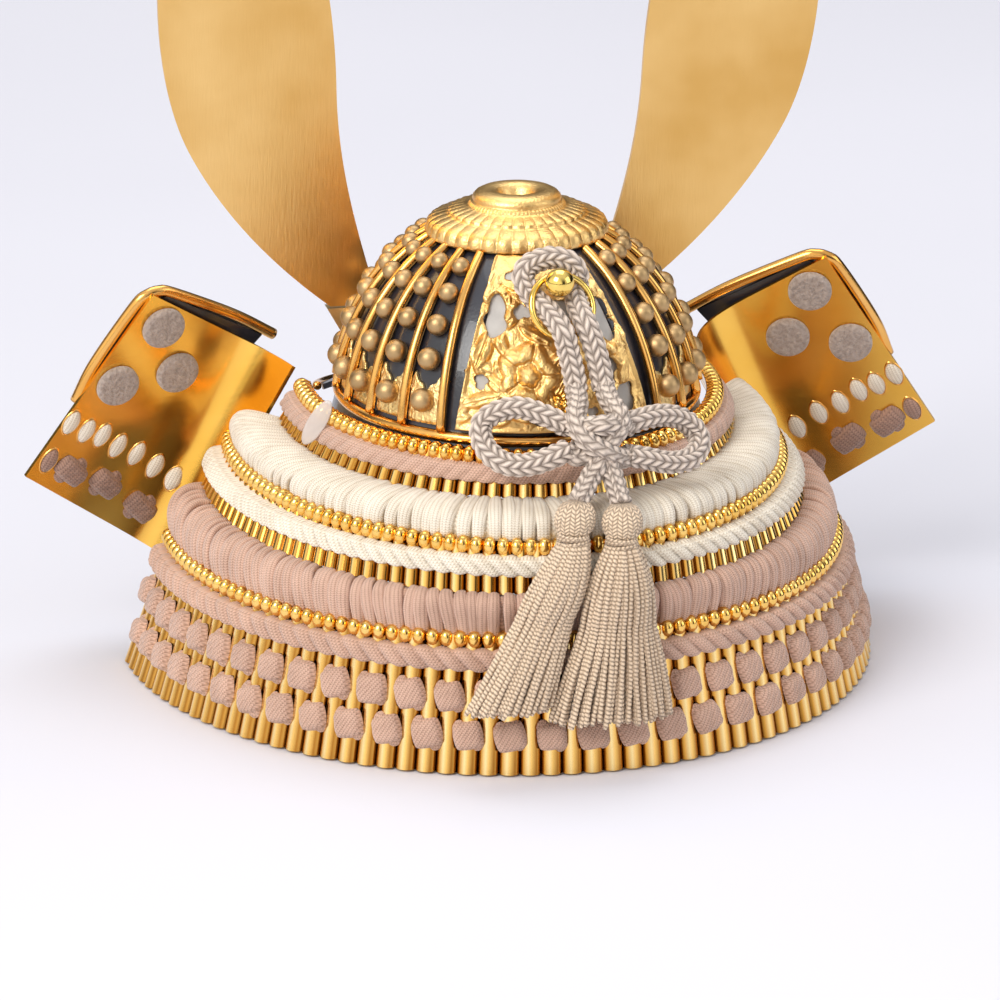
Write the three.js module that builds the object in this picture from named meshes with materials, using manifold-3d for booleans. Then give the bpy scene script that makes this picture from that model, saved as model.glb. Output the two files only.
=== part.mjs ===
// A quarter-scale display kabuto: a studded bowl with an openwork plate, a neck guard
// of three laced lames, two turned-back wings, a pair of flat horns and a knotted
// braid with two tassels at the back.
// Millimetres, +Z up, +Y the way the wearer faces, +X to the wearer's right.
import * as THREE from "three";
import { mergeVertices } from "three/addons/utils/BufferGeometryUtils.js";
import Module from "manifold-3d";

// ---------------------------------------------------------------- driving dimensions
const GAP = 0.3; // air kept between neighbouring pieces
const ORIGIN_SHIFT_Y = 3.36; // moves the footprint's middle onto the origin

// The bowl is an ellipse in plan and in section, cut off at its foot.
const BOWL = { radius: 31.3, stretchY: 1.082, baseZ: 50, topZ: 86, footZ: 54.8, wall: 1.4, closeZ: 83.5 };
const RIM = { halfWidth: 31.7, depth: 34.3, z: 53.4, tube: 0.9 };
const RIB = { first: 37, pitch: 14.3, count: 8, radius: 0.85, clear: 0.7, lowZ: 55.4, highZ: 81.4 };
const STUD_Z = [59, 65.7, 71, 75.7, 79.4];
const STUD = { heightTop: 2.2, heightBottom: 2.8, maxRadius: 2.0, sides: 4 };
const PLATE = { thickness: 1.0, relief: 0.4, lowZ: 55.6, highZ: 81.4, clear: 0.5 };
const BACK_PLATE = { facing: 0, lowHalf: 32, highHalf: 26 };
const FRONT_PLATE = { facing: 180, lowHalf: 32, highHalf: 27 };

const CROWN = { flangeR: 16.1, skirtZ: 82.4, collarR: 7.8, topZ: 89.9, dishR: 3.3 };

// Plan of the neck guard: rings are part-ellipses open at the front. endY is how far
// forward each ring reaches at its two ends.
const RINGS = {
  headOne: { halfWidth: 36.0, depth: 45.4, centreY: 8, z: 52.5, endY: 14 },
  footOne: { halfWidth: 39.3, depth: 49.7, centreY: 10, z: 46.3, endY: 16 },
  headTwo: { halfWidth: 48.7, depth: 63.0, centreY: 12, z: 39.6, endY: 24.5 },
  footTwo: { halfWidth: 52.5, depth: 66.0, centreY: 13.5, z: 33.0, endY: 23 },
  headThree: { halfWidth: 59.8, depth: 67.3, centreY: 14, z: 23.5, endY: 19 },
  footThree: { halfWidth: 67.5, depth: 76.0, centreY: 20, z: 0, endY: 21.5 },
};
const LAME = { wall: 0.9, ridge: 0.35, scalesOne: 38, scalesTwo: 48, scalesThree: 62 };
const BAND = { clear: 0.7, thick: 0.9 };
const KNOT_SWELL = 0.5; // how far a knot swells out, one knot to every two scales
const NECK_BAND = { topZ: 52.1, footZ: 47, topRadii: [31.9, 34.2], footRadii: [32.5, 34.7], wall: 1.2 };

// Right wing, its flat stretch and the bend that joins it to the top lame.
const WING = {
  topOuter: [62, 21.5, 68.1],
  topBend: [44.5, 29.8, 56.6],
  topInner: [37.2, 17.0, 54.4],
  footOuter: [84.8, 27.4, 33.8],
  footBend: [62, 38.7, 16.5],
  footInner: [57.0, 26.0, 15.0],
  faceNormal: [-0.23, -0.921, -0.313], // out of the back face
  plate: 0.7,
  board: 1.3,
  boardProud: 2.4, // how far the board shows above the plate
  boardDrop: 25.0, // from its top corners down to its foot
  rimTube: 0.9,
};
const DISC = {
  radius: 4.0,
  thickness: 0.9,
  places: { upper: [59.8, 61.2], inner: [56.7, 51.6], outer: [67.9, 50.4] }, // x, z
};

const HORN = { footY: 27.7, lean: 0.1, thickness: 1.0, footZ: 62.2 };
// Cast band at the horns' foot: half angle, heights, and how far off the bowl it lies.
const BASE = { half: 40, lowZ: 55.4, topZ: 59.5, crest: 3, near: 3.1, far: 4.6 };
const CORD = { radius: 1.95, sides: 8 };

// ---------------------------------------------------------------- materials
const finish = (color, roughness, metalness) =>
  new THREE.MeshStandardMaterial({ color, roughness, metalness });
const LOOK = {
  blackShell: finish(0x1b1c26, 0.35, 0.1),
  gold: finish(0xd9a441, 0.28, 1),
  brightGold: finish(0xe6b93f, 0.22, 1),
  castGold: finish(0xd8b468, 0.45, 1),
  ivory: finish(0xe9e3d8, 0.9, 0),
  pink: finish(0xc9a797, 0.9, 0),
  felt: finish(0xa49183, 1, 0),
  braid: finish(0xa99b90, 0.85, 0),
  silk: finish(0xcbb39b, 0.6, 0),
  clear: finish(0xe8e2de, 0.3, 0),
};

// ---------------------------------------------------------------- solids from grids
const wasm = await Module();
wasm.setup();
const helmet = new THREE.Group();
const v3 = (x, y, z) => new THREE.Vector3(x, y, z);
const rad = THREE.MathUtils.degToRad;
const mix = (a, b, t) => a + (b - a) * t;

function addPiece(name, geometry, material) {
  const mesh = new THREE.Mesh(geometry, material);
  mesh.name = name;
  helmet.add(mesh);
}

function signedVolume(p) {
  let sum = 0;
  for (let i = 0; i < p.length; i += 9) {
    sum += p[i] * (p[i + 4] * p[i + 8] - p[i + 5] * p[i + 7]);
    sum -= p[i + 1] * (p[i + 3] * p[i + 8] - p[i + 5] * p[i + 6]);
    sum += p[i + 2] * (p[i + 3] * p[i + 7] - p[i + 4] * p[i + 6]);
  }
  return sum / 6;
}

// Triangles to a geometry whose faces point out, whichever way they were listed.
function facingOut(triangles) {
  const flip = signedVolume(triangles.flatMap((p) => p.toArray())) < 0;
  const positions = [];
  for (let i = 0; i < triangles.length; i += 3) {
    const [a, b, c] = triangles.slice(i, i + 3);
    for (const p of flip ? [a, c, b] : [a, b, c]) positions.push(p.x, p.y, p.z);
  }
  const geometry = new THREE.BufferGeometry();
  geometry.setAttribute("position", new THREE.Float32BufferAttribute(positions, 3));
  return mergeVertices(geometry, 1e-5);
}

// A wall between two grids of points. Along its first index it is open, with two end
// faces, or it closes on itself.
function wallSolid(outer, inner, closesOnItself = false) {
  const triangles = [];
  const quad = (a, b, c, d) => triangles.push(a, b, c, a, c, d);
  const rows = outer.length;
  const last = outer[0].length - 1;
  const spans = closesOnItself ? rows : rows - 1;
  for (let i = 0; i < spans; i++) {
    const [o, p] = [outer[i], outer[(i + 1) % rows]];
    const [m, n] = [inner[i], inner[(i + 1) % rows]];
    for (let j = 0; j < last; j++) {
      quad(o[j], o[j + 1], p[j + 1], p[j]);
      quad(m[j], n[j], n[j + 1], m[j + 1]);
    }
    quad(o[0], p[0], n[0], m[0]);
    quad(o[last], m[last], n[last], p[last]);
  }
  if (!closesOnItself) {
    const [o, m] = [outer[0], inner[0]];
    const [p, n] = [outer[rows - 1], inner[rows - 1]];
    for (let j = 0; j < last; j++) {
      quad(o[j], m[j], m[j + 1], o[j + 1]);
      quad(p[j], p[j + 1], n[j + 1], n[j]);
    }
  }
  return facingOut(triangles);
}

// A solid lofted through closed loops of equal length, with fan ends.
function loftSolid(loops) {
  const triangles = [];
  const count = loops[0].length;
  for (let i = 0; i + 1 < loops.length; i++) {
    for (let j = 0; j < count; j++) {
      const k = (j + 1) % count;
      triangles.push(loops[i][j], loops[i][k], loops[i + 1][k]);
      triangles.push(loops[i][j], loops[i + 1][k], loops[i + 1][j]);
    }
  }
  const middle = (loop) => loop.reduce((sum, p) => sum.add(p), v3(0, 0, 0)).divideScalar(count);
  const [first, final] = [loops[0], loops[loops.length - 1]];
  const [c0, c1] = [middle(first), middle(final)];
  for (let j = 0; j < count; j++) {
    const k = (j + 1) % count;
    triangles.push(c0, first[k], first[j]);
    triangles.push(c1, final[j], final[k]);
  }
  return facingOut(triangles);
}

// A round rod along a list of points.
function rod(points, radius, sides, steps, closed = false) {
  const section = new THREE.Shape();
  for (let k = 0; k < sides; k++) {
    const a = (2 * Math.PI * k) / sides;
    if (k === 0) section.moveTo(radius, 0);
    else section.lineTo(radius * Math.cos(a), radius * Math.sin(a));
  }
  section.closePath();
  const path = new THREE.CatmullRomCurve3(points.map((p) => v3(...p)), closed, "centripetal");
  const geometry = new THREE.ExtrudeGeometry(section, { steps, bevelEnabled: false, extrudePath: path });
  geometry.deleteAttribute("uv");
  geometry.deleteAttribute("normal");
  return mergeVertices(geometry, 1e-4);
}

function mirrored(geometry) {
  const copy = geometry.index ? geometry.toNonIndexed() : geometry;
  const p = copy.attributes.position;
  const points = [];
  for (let i = 0; i < p.count; i++) points.push(v3(-p.getX(i), p.getY(i), p.getZ(i)));
  return facingOut(points);
}

// ---------------------------------------------------------------- joining and cutting
function toManifold(geometry) {
  const bare = geometry.clone();
  for (const name of Object.keys(bare.attributes)) {
    if (name !== "position") bare.deleteAttribute(name);
  }
  const merged = mergeVertices(bare, 1e-4);
  return new wasm.Manifold(
    new wasm.Mesh({
      numProp: 3,
      vertProperties: new Float32Array(merged.attributes.position.array),
      triVerts: new Uint32Array(merged.index.array),
    }),
  );
}

function fromManifold(solid) {
  const mesh = solid.getMesh();
  const geometry = new THREE.BufferGeometry();
  geometry.setAttribute("position", new THREE.BufferAttribute(new Float32Array(mesh.vertProperties), 3));
  geometry.setIndex(new THREE.BufferAttribute(new Uint32Array(mesh.triVerts), 1));
  return geometry;
}

// A lathe profile, given as [radius, z] pairs, turned about the upright axis.
function turned(profile, segments, stretchY = 1) {
  const points = profile.map(([r, z]) => new THREE.Vector2(r, z));
  const geometry = new THREE.LatheGeometry(points, segments);
  geometry.rotateX(Math.PI / 2);
  geometry.scale(1, stretchY, 1);
  geometry.deleteAttribute("uv");
  geometry.deleteAttribute("normal");
  const flat = mergeVertices(geometry, 1e-4).toNonIndexed();
  const p = flat.attributes.position;
  const corners = [];
  for (let i = 0; i < p.count; i += 3) {
    const tri = [0, 1, 2].map((k) => v3(p.getX(i + k), p.getY(i + k), p.getZ(i + k)));
    const doubled = (a, b) => a.distanceTo(b) < 1e-4;
    if (doubled(tri[0], tri[1]) || doubled(tri[1], tri[2]) || doubled(tri[2], tri[0])) continue;
    corners.push(...tri);
  }
  return facingOut(corners);
}

// ---------------------------------------------------------------- bowl
const bowlRadius = (z) => BOWL.radius * Math.sqrt(1 - ((z - BOWL.baseZ) / (BOWL.topZ - BOWL.baseZ)) ** 2);

// A point over the bowl: degrees from the middle of the back towards +X, height, and
// how far it stands out from the shell.
function overBowl(degrees, z, out = 0) {
  const r = bowlRadius(z) + out;
  return v3(r * Math.sin(rad(degrees)), -BOWL.stretchY * r * Math.cos(rad(degrees)), z);
}

function bowlShell() {
  const heights = [BOWL.footZ, 62.5, 69.5, 75.5, 79.5, 82];
  const profile = heights.map((z) => [bowlRadius(z), z]);
  profile.push([9, BOWL.closeZ], [0, BOWL.closeZ + 0.8]);
  profile.push([0, BOWL.closeZ - 1], [8.2, BOWL.closeZ - 1.6]);
  for (const z of heights.slice().reverse()) {
    profile.push([bowlRadius(z) - BOWL.wall, z === BOWL.footZ ? z : z - 1]);
  }
  profile.push(profile[0]);
  return toManifold(turned(profile, 24, BOWL.stretchY));
}

// A small dome set square on the shell, with a few sides.
function stud(degrees, z) {
  const halfPitch = (rad(RIB.pitch) / 2) * bowlRadius(z);
  const radius = Math.min(STUD.maxRadius, halfPitch - RIB.radius - GAP);
  const t = (z - STUD_Z[0]) / (STUD_Z[4] - STUD_Z[0]);
  const height = mix(STUD.heightBottom, STUD.heightTop, t);
  const foot = overBowl(degrees, z, -0.5);
  const tip = overBowl(degrees, z, 1);
  const slope = bowlRadius(z + 0.5) - bowlRadius(z - 0.5);
  const outward = tip.sub(foot).setZ(0).normalize();
  const normal = outward.clone().setZ(-slope).normalize();
  const sideways = v3(0, 0, 1).cross(normal).normalize();
  const upwards = normal.clone().cross(sideways).normalize();
  const loop = (r, h) => {
    const points = [];
    for (let k = 0; k < STUD.sides; k++) {
      const a = (2 * Math.PI * (k + 0.25)) / STUD.sides;
      const p = foot.clone().addScaledVector(normal, h + 0.5);
      p.addScaledVector(sideways, r * Math.cos(a)).addScaledVector(upwards, r * Math.sin(a));
      points.push(p);
    }
    return points;
  };
  return loftSolid([loop(radius, -0.9), loop(radius * 0.7, height)]);
}

function studdedBowl() {
  let bowl = bowlShell();
  for (const side of [-1, 1]) {
    for (let column = 0; column + 1 < RIB.count; column++) {
      const degrees = side * (RIB.first + (column + 0.5) * RIB.pitch);
      for (const z of STUD_Z) bowl = bowl.add(toManifold(stud(degrees, z)));
    }
  }
  return fromManifold(bowl);
}

function rib(degrees) {
  const points = [];
  for (let k = 0; k <= 5; k++) {
    const z = mix(RIB.lowZ, RIB.highZ, 1 - (1 - k / 5) ** 1.5);
    const p = overBowl(degrees, z, RIB.radius + RIB.clear);
    points.push([p.x, p.y, p.z]);
  }
  return rod(points, RIB.radius, 5, 5);
}

// Openwork plate: cast leaves and blossoms, raised by a wavy outer face, pierced by
// holes listed as degrees from the plate's middle, height and half width.
const PLATE_HOLES = [
  { degrees: -22.6, z: 74.2, half: 1.35 },
  { degrees: -24.7, z: 64.9, half: 0.9 },
  { degrees: -14.5, z: 78.8, half: 0.9 },
  { degrees: 24.5, z: 73.8, half: 1.35 },
  { degrees: 19.5, z: 65.3, half: 1.1 },
  { degrees: 25.1, z: 60.1, half: 1.5 },
  { degrees: 21.5, z: 79.2, half: 0.9 },
  { degrees: 5.5, z: 70.5, half: 0.9 },
  { degrees: -8.0, z: 61.5, half: 0.8 },
];

function openworkPlate({ facing, lowHalf, highHalf }) {
  const columns = 9;
  const rows = 5;
  const face = (out, relief) => {
    const grid = [];
    for (let i = 0; i <= columns; i++) {
      const line = [];
      for (let j = 0; j <= rows; j++) {
        const t = j / rows;
        const z = mix(PLATE.lowZ, PLATE.highZ, 1 - (1 - t) ** 1.3);
        const degrees = facing + mix(lowHalf, highHalf, t) * (2 * (i / columns) - 1);
        const inside = i > 0 && i < columns && j > 0 && j < rows;
        const bump = inside ? relief * (0.5 + 0.5 * Math.cos(2.1 * i) * Math.cos(1.7 * j)) : 0;
        line.push(overBowl(degrees, z, out + bump));
      }
      grid.push(line);
    }
    return grid;
  };
  const outer = face(PLATE.clear + PLATE.thickness, PLATE.relief);
  let plate = toManifold(wallSolid(outer, face(PLATE.clear, 0)));
  for (const hole of PLATE_HOLES) {
    const middle = facing + hole.degrees;
    const loop = (out) => {
      const points = [];
      for (let k = 0; k < 6; k++) {
        const a = (Math.PI * k) / 3;
        const widen = rad(1) * bowlRadius(hole.z);
        const turn = (hole.half * Math.cos(a)) / widen;
        points.push(overBowl(middle + turn, hole.z + 1.25 * hole.half * Math.sin(a), out));
      }
      return points;
    };
    plate = plate.subtract(toManifold(loftSolid([loop(-0.3), loop(4)])));
  }
  return fromManifold(plate);
}

function bowlRim() {
  const points = [];
  for (let k = 0; k < 30; k++) {
    const a = (2 * Math.PI * k) / 30;
    const across = [];
    for (let m = 0; m < 5; m++) {
      const b = (2 * Math.PI * m) / 5;
      const grow = RIM.tube * Math.cos(b);
      const [x, y] = [(RIM.halfWidth + grow) * Math.sin(a), -(RIM.depth + grow) * Math.cos(a)];
      across.push(v3(x, y, RIM.z + RIM.tube * Math.sin(b)));
    }
    points.push(across);
  }
  return ringSolid(points);
}

// A closed ring lofted through closed sections.
function ringSolid(sections) {
  const triangles = [];
  const count = sections[0].length;
  for (let i = 0; i < sections.length; i++) {
    const [s, t] = [sections[i], sections[(i + 1) % sections.length]];
    for (let j = 0; j < count; j++) {
      const k = (j + 1) % count;
      triangles.push(s[j], s[k], t[k], s[j], t[k], t[j]);
    }
  }
  return facingOut(triangles);
}

// Black band that carries the neck guard, just under the rim.
function neckBand() {
  const { topZ, footZ, topRadii, footRadii, wall } = NECK_BAND;
  const sides = 28;
  const outer = [];
  const inner = [];
  for (let k = 0; k < sides; k++) {
    const a = (2 * Math.PI * k) / sides;
    const at = ([halfWidth, depth], z, out) =>
      v3((halfWidth + out) * Math.sin(a), -(depth + out) * Math.cos(a), z);
    outer.push([at(topRadii, topZ, 0), at(footRadii, footZ, 0)]);
    inner.push([at(topRadii, topZ, -wall), at(footRadii, footZ, -wall)]);
  }
  return wallSolid(outer, inner, true);
}

// ---------------------------------------------------------------- crown
// Crown ornament: a dished collar over a bead and two tiers, with a turned-down skirt.
function crown() {
  const c = CROWN;
  const profile = [
    [0, 87.0],
    [c.dishR - 0.5, 87.4],
    [c.dishR, 89.2],
    [5.0, c.topZ],
    [6.6, 89.8],
    [c.collarR, 88.9],
    [8.0, 87.9],
    [9.0, 87.2],
    [8.9, 86.8],
    [12.3, 86.2],
    [12.5, 85.6],
    [15.3, 84.9],
    [c.flangeR, 84.1],
    [c.flangeR, c.skirtZ],
    [c.flangeR - 0.9, c.skirtZ],
    [14.6, 84.0],
    [8.4, 85.4],
    [0, 85.4],
  ];
  return turned(profile, 24);
}

// ---------------------------------------------------------------- neck guard
// Ellipse angles that divide a ring into equal lengths, from one end to the other.
function evenAngles(ring, parts) {
  const end = Math.acos((ring.centreY - ring.endY) / ring.depth);
  const samples = 240;
  const at = (k) => mix(-end, end, k / samples);
  const speed = (a) => Math.hypot(ring.halfWidth * Math.cos(a), ring.depth * Math.sin(a));
  const lengths = [0];
  for (let k = 1; k <= samples; k++) {
    lengths.push(lengths[k - 1] + (at(k) - at(k - 1)) * speed(at(k)));
  }
  const angles = [];
  for (let i = 0, k = 0; i <= parts; i++) {
    const target = (lengths[samples] * i) / parts;
    while (k < samples && lengths[k + 1] < target) k++;
    const share = (target - lengths[k]) / (lengths[Math.min(k + 1, samples)] - lengths[k] || 1);
    angles.push(mix(at(k), at(Math.min(k + 1, samples)), share));
  }
  return angles;
}

function onRing(ring, angle, grow) {
  const x = (ring.halfWidth + grow) * Math.sin(angle);
  const y = ring.centreY - (ring.depth + grow) * Math.cos(angle);
  return v3(x, y, ring.z);
}

// Grid over the wall between two rings. rows lists how far down (0 head, 1 foot) and
// how far out each row lies, and outAt may change the latter from station to station.
function wallGrid(head, foot, parts, rows, outAt = () => 0) {
  const [a, b] = [evenAngles(head, parts), evenAngles(foot, parts)];
  return a.map((angle, i) =>
    rows.map(([down, out, lift = 0]) => {
      const grow = out + outAt(i);
      const p = onRing(head, angle, grow).lerp(onRing(foot, b[i], grow), down);
      return p.setZ(p.z + lift);
    }),
  );
}

// A lame: upright scales that show as ridges, two stations to a scale.
function lame(head, foot, scales, topDown, footDown) {
  const ridge = (i) => (i % 2 === 1 ? LAME.ridge : 0);
  const outer = wallGrid(head, foot, scales * 2, [[topDown, 0], [footDown, 0]], ridge);
  const inner = wallGrid(head, foot, scales * 2, [[topDown, -LAME.wall], [footDown, -LAME.wall]]);
  return wallSolid(outer, inner);
}

// A flat band of braid on a lame, or with pillows a row of knots.
function braidBand(head, foot, stations, fromDown, toDown, pillow = 0) {
  const swell = (i) => (i % 2 === 1 ? pillow : 0);
  const out = BAND.clear + BAND.thick;
  const outer = wallGrid(head, foot, stations, [[fromDown, out], [toDown, out]], swell);
  const inner = wallGrid(head, foot, stations, [[fromDown, BAND.clear], [toDown, BAND.clear]]);
  return wallSolid(outer, inner);
}

// The long braids that hang from one lame's foot to the next lame's head, as one
// bulging sheet.
function longLacing(upperHead, upperFoot, lowerHead, lowerFoot, upperDown, lowerDown, bulge) {
  const parts = 30;
  const start = wallGrid(upperHead, upperFoot, parts, [[upperDown, 0]]);
  const end = wallGrid(lowerHead, lowerFoot, parts, [[lowerDown, 0]]);
  const outer = [];
  const inner = [];
  for (let i = 0; i <= parts; i++) {
    const [p, q] = [start[i][0], end[i][0]];
    const outward = v3(q.x, q.y - 8, 0).normalize();
    const shifted = (base, out, lift) => base.clone().addScaledVector(outward, out).setZ(base.z + lift);
    const middle = p.clone().lerp(q, 0.5);
    outer.push([shifted(p, 1.9, 1.0), shifted(middle, bulge + 1.2, bulge + 0.9), shifted(q, 0.2, 1.2)]);
    inner.push([shifted(p, 0.75, 0.2), shifted(middle, bulge - 0.1, bulge - 0.3), shifted(q, -0.9, 0.35)]);
  }
  return wallSolid(outer, inner);
}

// ---------------------------------------------------------------- wings
// Unit directions in the wing's flat stretch: outwards along the top edge, and down.
const WING_OUT = v3(...WING.topOuter).sub(v3(...WING.topBend)).normalize();
const WING_DOWN = v3(...WING.footOuter).sub(v3(...WING.topOuter)).normalize();

// Points across the right wing from its outer edge to its inner one, at the top (0) or
// the foot (1): a flat stretch, then a bend towards the back.
function wingLine(down) {
  const corner = (a, b) => v3(...WING[a]).lerp(v3(...WING[b]), down);
  const outer = corner("topOuter", "footOuter");
  const bend = corner("topBend", "footBend");
  const inner = corner("topInner", "footInner");
  const ahead = bend.clone().sub(outer).normalize();
  const reach = bend.distanceTo(inner);
  const turn = new THREE.CubicBezierCurve3(
    bend,
    bend.clone().addScaledVector(ahead, reach * 0.42),
    inner.clone().add(v3(0, reach * 0.4, 0)),
    inner,
  );
  return [outer, outer.clone().lerp(bend, 0.5), ...turn.getPoints(6)];
}

// Direction out of the wing's back face at each point of wingLine.
function wingNormals(line) {
  return line.map((p, i) => {
    const along = line[Math.min(i + 1, line.length - 1)].clone().sub(line[Math.max(i - 1, 0)]);
    return along.cross(WING_DOWN).normalize();
  });
}

function wingSheet(front, back) {
  const outer = [];
  const inner = [];
  for (const down of [0, 0.5, 1]) {
    const line = wingLine(down);
    const normals = wingNormals(line);
    outer.push(line.map((p, i) => p.clone().addScaledVector(normals[i], back)));
    inner.push(line.map((p, i) => p.clone().addScaledVector(normals[i], front)));
  }
  return [outer, inner];
}

const wingPlate = () => wallSolid(...wingSheet(-WING.plate / 2, WING.plate / 2));

// Black board in front of the plate's upper half, proud of it at the top and the outer
// side, with its outer top corner cut off.
function boardCorners() {
  const proud = WING.boardProud;
  const place = (name, out, down) =>
    v3(...WING[name]).addScaledVector(WING_OUT, out).addScaledVector(WING_DOWN, down);
  return {
    topInner: place("topBend", 0, -proud),
    topOuter: place("topOuter", proud * 0.6, -proud),
    footOuter: place("topOuter", proud * 0.45, WING.boardDrop),
    footInner: place("topBend", 0, WING.boardDrop),
  };
}

function wingBoard() {
  const ahead = v3(...WING.faceNormal).negate();
  const c = boardCorners();
  const cut = 3.5;
  const along = (a, b, length) => a.clone().addScaledVector(b.clone().sub(a).normalize(), length);
  const lines = [
    [c.topInner, c.footInner],
    [along(c.topOuter, c.topInner, cut), along(c.footOuter, c.footInner, cut)],
    [along(c.topOuter, c.footOuter, cut), c.footOuter],
  ];
  const skin = (away) => lines.map((line) => line.map((p) => p.clone().addScaledVector(ahead, away)));
  const near = WING.plate / 2 + GAP;
  return wallSolid(skin(near), skin(near + WING.board));
}

function wingRim() {
  const c = boardCorners();
  const ahead = v3(...WING.faceNormal).negate();
  const middle = WING.plate / 2 + GAP + WING.board / 2;
  const outside = WING.rimTube + GAP + 0.1;
  const place = (corner, out, down) => {
    const p = corner.clone().addScaledVector(ahead, middle);
    p.addScaledVector(WING_OUT, out).addScaledVector(WING_DOWN, down);
    return [p.x, p.y, p.z];
  };
  const points = [
    place(c.topInner, -1.5, -outside),
    place(c.topInner, 8, -outside),
    place(c.topOuter, -4.5, -outside),
    place(c.topOuter, -1.6, -outside + 0.9),
    place(c.topOuter, outside - 0.9, 1.6),
    place(c.topOuter, outside, 4.5),
    place(c.footOuter, outside, -8),
    place(c.footOuter, outside - 0.2, -1),
  ];
  return rod(points, WING.rimTube, 6, 16);
}

// Height of the wing's middle plane over an x, z place, solved from its normal.
function onWing(x, z) {
  const [nx, ny, nz] = WING.faceNormal;
  const [ox, oy, oz] = WING.topOuter;
  return v3(x, oy - (nx * (x - ox) + nz * (z - oz)) / ny, z);
}

function feltDisc([x, z]) {
  const normal = v3(...WING.faceNormal).normalize();
  const disc = new THREE.CylinderGeometry(DISC.radius, DISC.radius, DISC.thickness, 12);
  disc.deleteAttribute("uv");
  disc.deleteAttribute("normal");
  disc.applyQuaternion(new THREE.Quaternion().setFromUnitVectors(v3(0, 1, 0), normal));
  const lift = WING.plate / 2 + GAP + 0.2 + DISC.thickness / 2;
  const place = onWing(x, z).addScaledVector(normal, lift);
  disc.translate(place.x, place.y, place.z);
  return mergeVertices(disc, 1e-4);
}

// ---------------------------------------------------------------- front: visor, base, horns
// Visor outline at an angle from the middle of the front: inner edge against the neck
// band, outer edge further out and lower.
function visorEdge(degrees, share, lift = 0) {
  const swell = Math.max(Math.cos(rad(degrees * 1.45)), 0) ** 0.7;
  const reach = share * (12 * swell + 0.8);
  const x = (33.4 + reach) * Math.sin(rad(degrees));
  const y = (36.0 + reach) * Math.cos(rad(degrees));
  return v3(x, y, 51.2 - share * 7 * swell + lift);
}

function visor() {
  const outer = [];
  const inner = [];
  for (let k = 0; k <= 16; k++) {
    const degrees = mix(-58, 58, k / 16);
    outer.push([0, 0.5, 1].map((share) => visorEdge(degrees, share)));
    inner.push([0, 0.5, 1].map((share) => visorEdge(degrees, share, -1.1)));
  }
  return wallSolid(outer, inner);
}

function visorRim() {
  const points = [];
  for (let k = 0; k <= 16; k++) {
    const degrees = mix(-57, 57, k / 16);
    const p = visorEdge(degrees, 1, -0.5);
    const away = v3(Math.sin(rad(degrees)), Math.cos(rad(degrees)), 0);
    p.addScaledVector(away, 1.15);
    points.push([p.x, p.y, p.z]);
  }
  return rod(points, 0.8, 6, 18);
}

// Horn base: a cast band round the front of the bowl that ends in two flared sockets,
// which the horns stand in.
function hornBase() {
  const { half, lowZ, topZ, crest, near, far } = BASE;
  const outer = [];
  const inner = [];
  const columns = 14;
  for (let k = 0; k <= columns; k++) {
    const degrees = mix(-half, half, k / columns);
    const top = topZ + crest * Math.cos(rad(degrees * 4)) ** 2;
    const facing = 180 + degrees;
    outer.push([overBowl(facing, lowZ, far), overBowl(facing, top, far)]);
    inner.push([overBowl(facing, lowZ, near), overBowl(facing, top, near)]);
  }
  let base = toManifold(wallSolid(outer, inner));
  const socket = new THREE.Shape();
  socket.moveTo(19.2, 54.8);
  socket.lineTo(25.2, 54.8);
  socket.lineTo(29.2, HORN.footZ - GAP);
  socket.lineTo(19.2, HORN.footZ - GAP);
  socket.closePath();
  const block = new THREE.ExtrudeGeometry(socket, { depth: 3, bevelEnabled: false });
  block.rotateX(Math.PI / 2);
  block.translate(0, HORN.footY + 2.4, 0);
  base = base.add(toManifold(block)).add(toManifold(mirrored(block)));
  return fromManifold(base);
}

// Horn outline, seen from the back: x outwards and z up.
function hornOutline() {
  const outline = new THREE.Shape();
  outline.moveTo(19.6, HORN.footZ);
  outline.lineTo(28.6, HORN.footZ);
  outline.bezierCurveTo(39, 70.5, 48, 80.5, 54, 92);
  outline.bezierCurveTo(60.5, 104, 63, 128, 56.5, 150);
  outline.bezierCurveTo(54, 145, 50, 141, 45.5, 138.5);
  outline.bezierCurveTo(42, 141.5, 39, 145, 36.5, 148.5);
  outline.bezierCurveTo(31, 132, 28.5, 120, 28, 104);
  outline.bezierCurveTo(27.6, 90, 24.5, 78, 19.6, HORN.footZ);
  return outline;
}

function horn() {
  const geometry = new THREE.ExtrudeGeometry(hornOutline(), {
    depth: HORN.thickness,
    bevelEnabled: false,
    curveSegments: 7,
  });
  geometry.translate(0, -HORN.footZ, -HORN.thickness / 2);
  geometry.rotateX(Math.PI / 2 + HORN.lean);
  geometry.translate(0, HORN.footY, HORN.footZ + 0.1);
  geometry.deleteAttribute("uv");
  geometry.deleteAttribute("normal");
  return mergeVertices(geometry, 1e-4);
}

// ---------------------------------------------------------------- ring, stud and cord
const RING = { centre: [1.9, -29.3, 76.25], radius: 5.65, wire: 0.4, leanBack: 27, turn: 10 };
const STUD_PIN = { foot: [1.4, -23.2, 79.0], ball: [1.4, -29.5, 80.6], pin: 0.7, ballR: 2.35 };

function hangingRing() {
  const ring = new THREE.TorusGeometry(RING.radius, RING.wire, 5, 18);
  ring.deleteAttribute("uv");
  ring.deleteAttribute("normal");
  ring.rotateX(Math.PI / 2 - rad(RING.leanBack));
  ring.rotateZ(rad(RING.turn));
  ring.translate(...RING.centre);
  return mergeVertices(ring, 1e-4);
}

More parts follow.
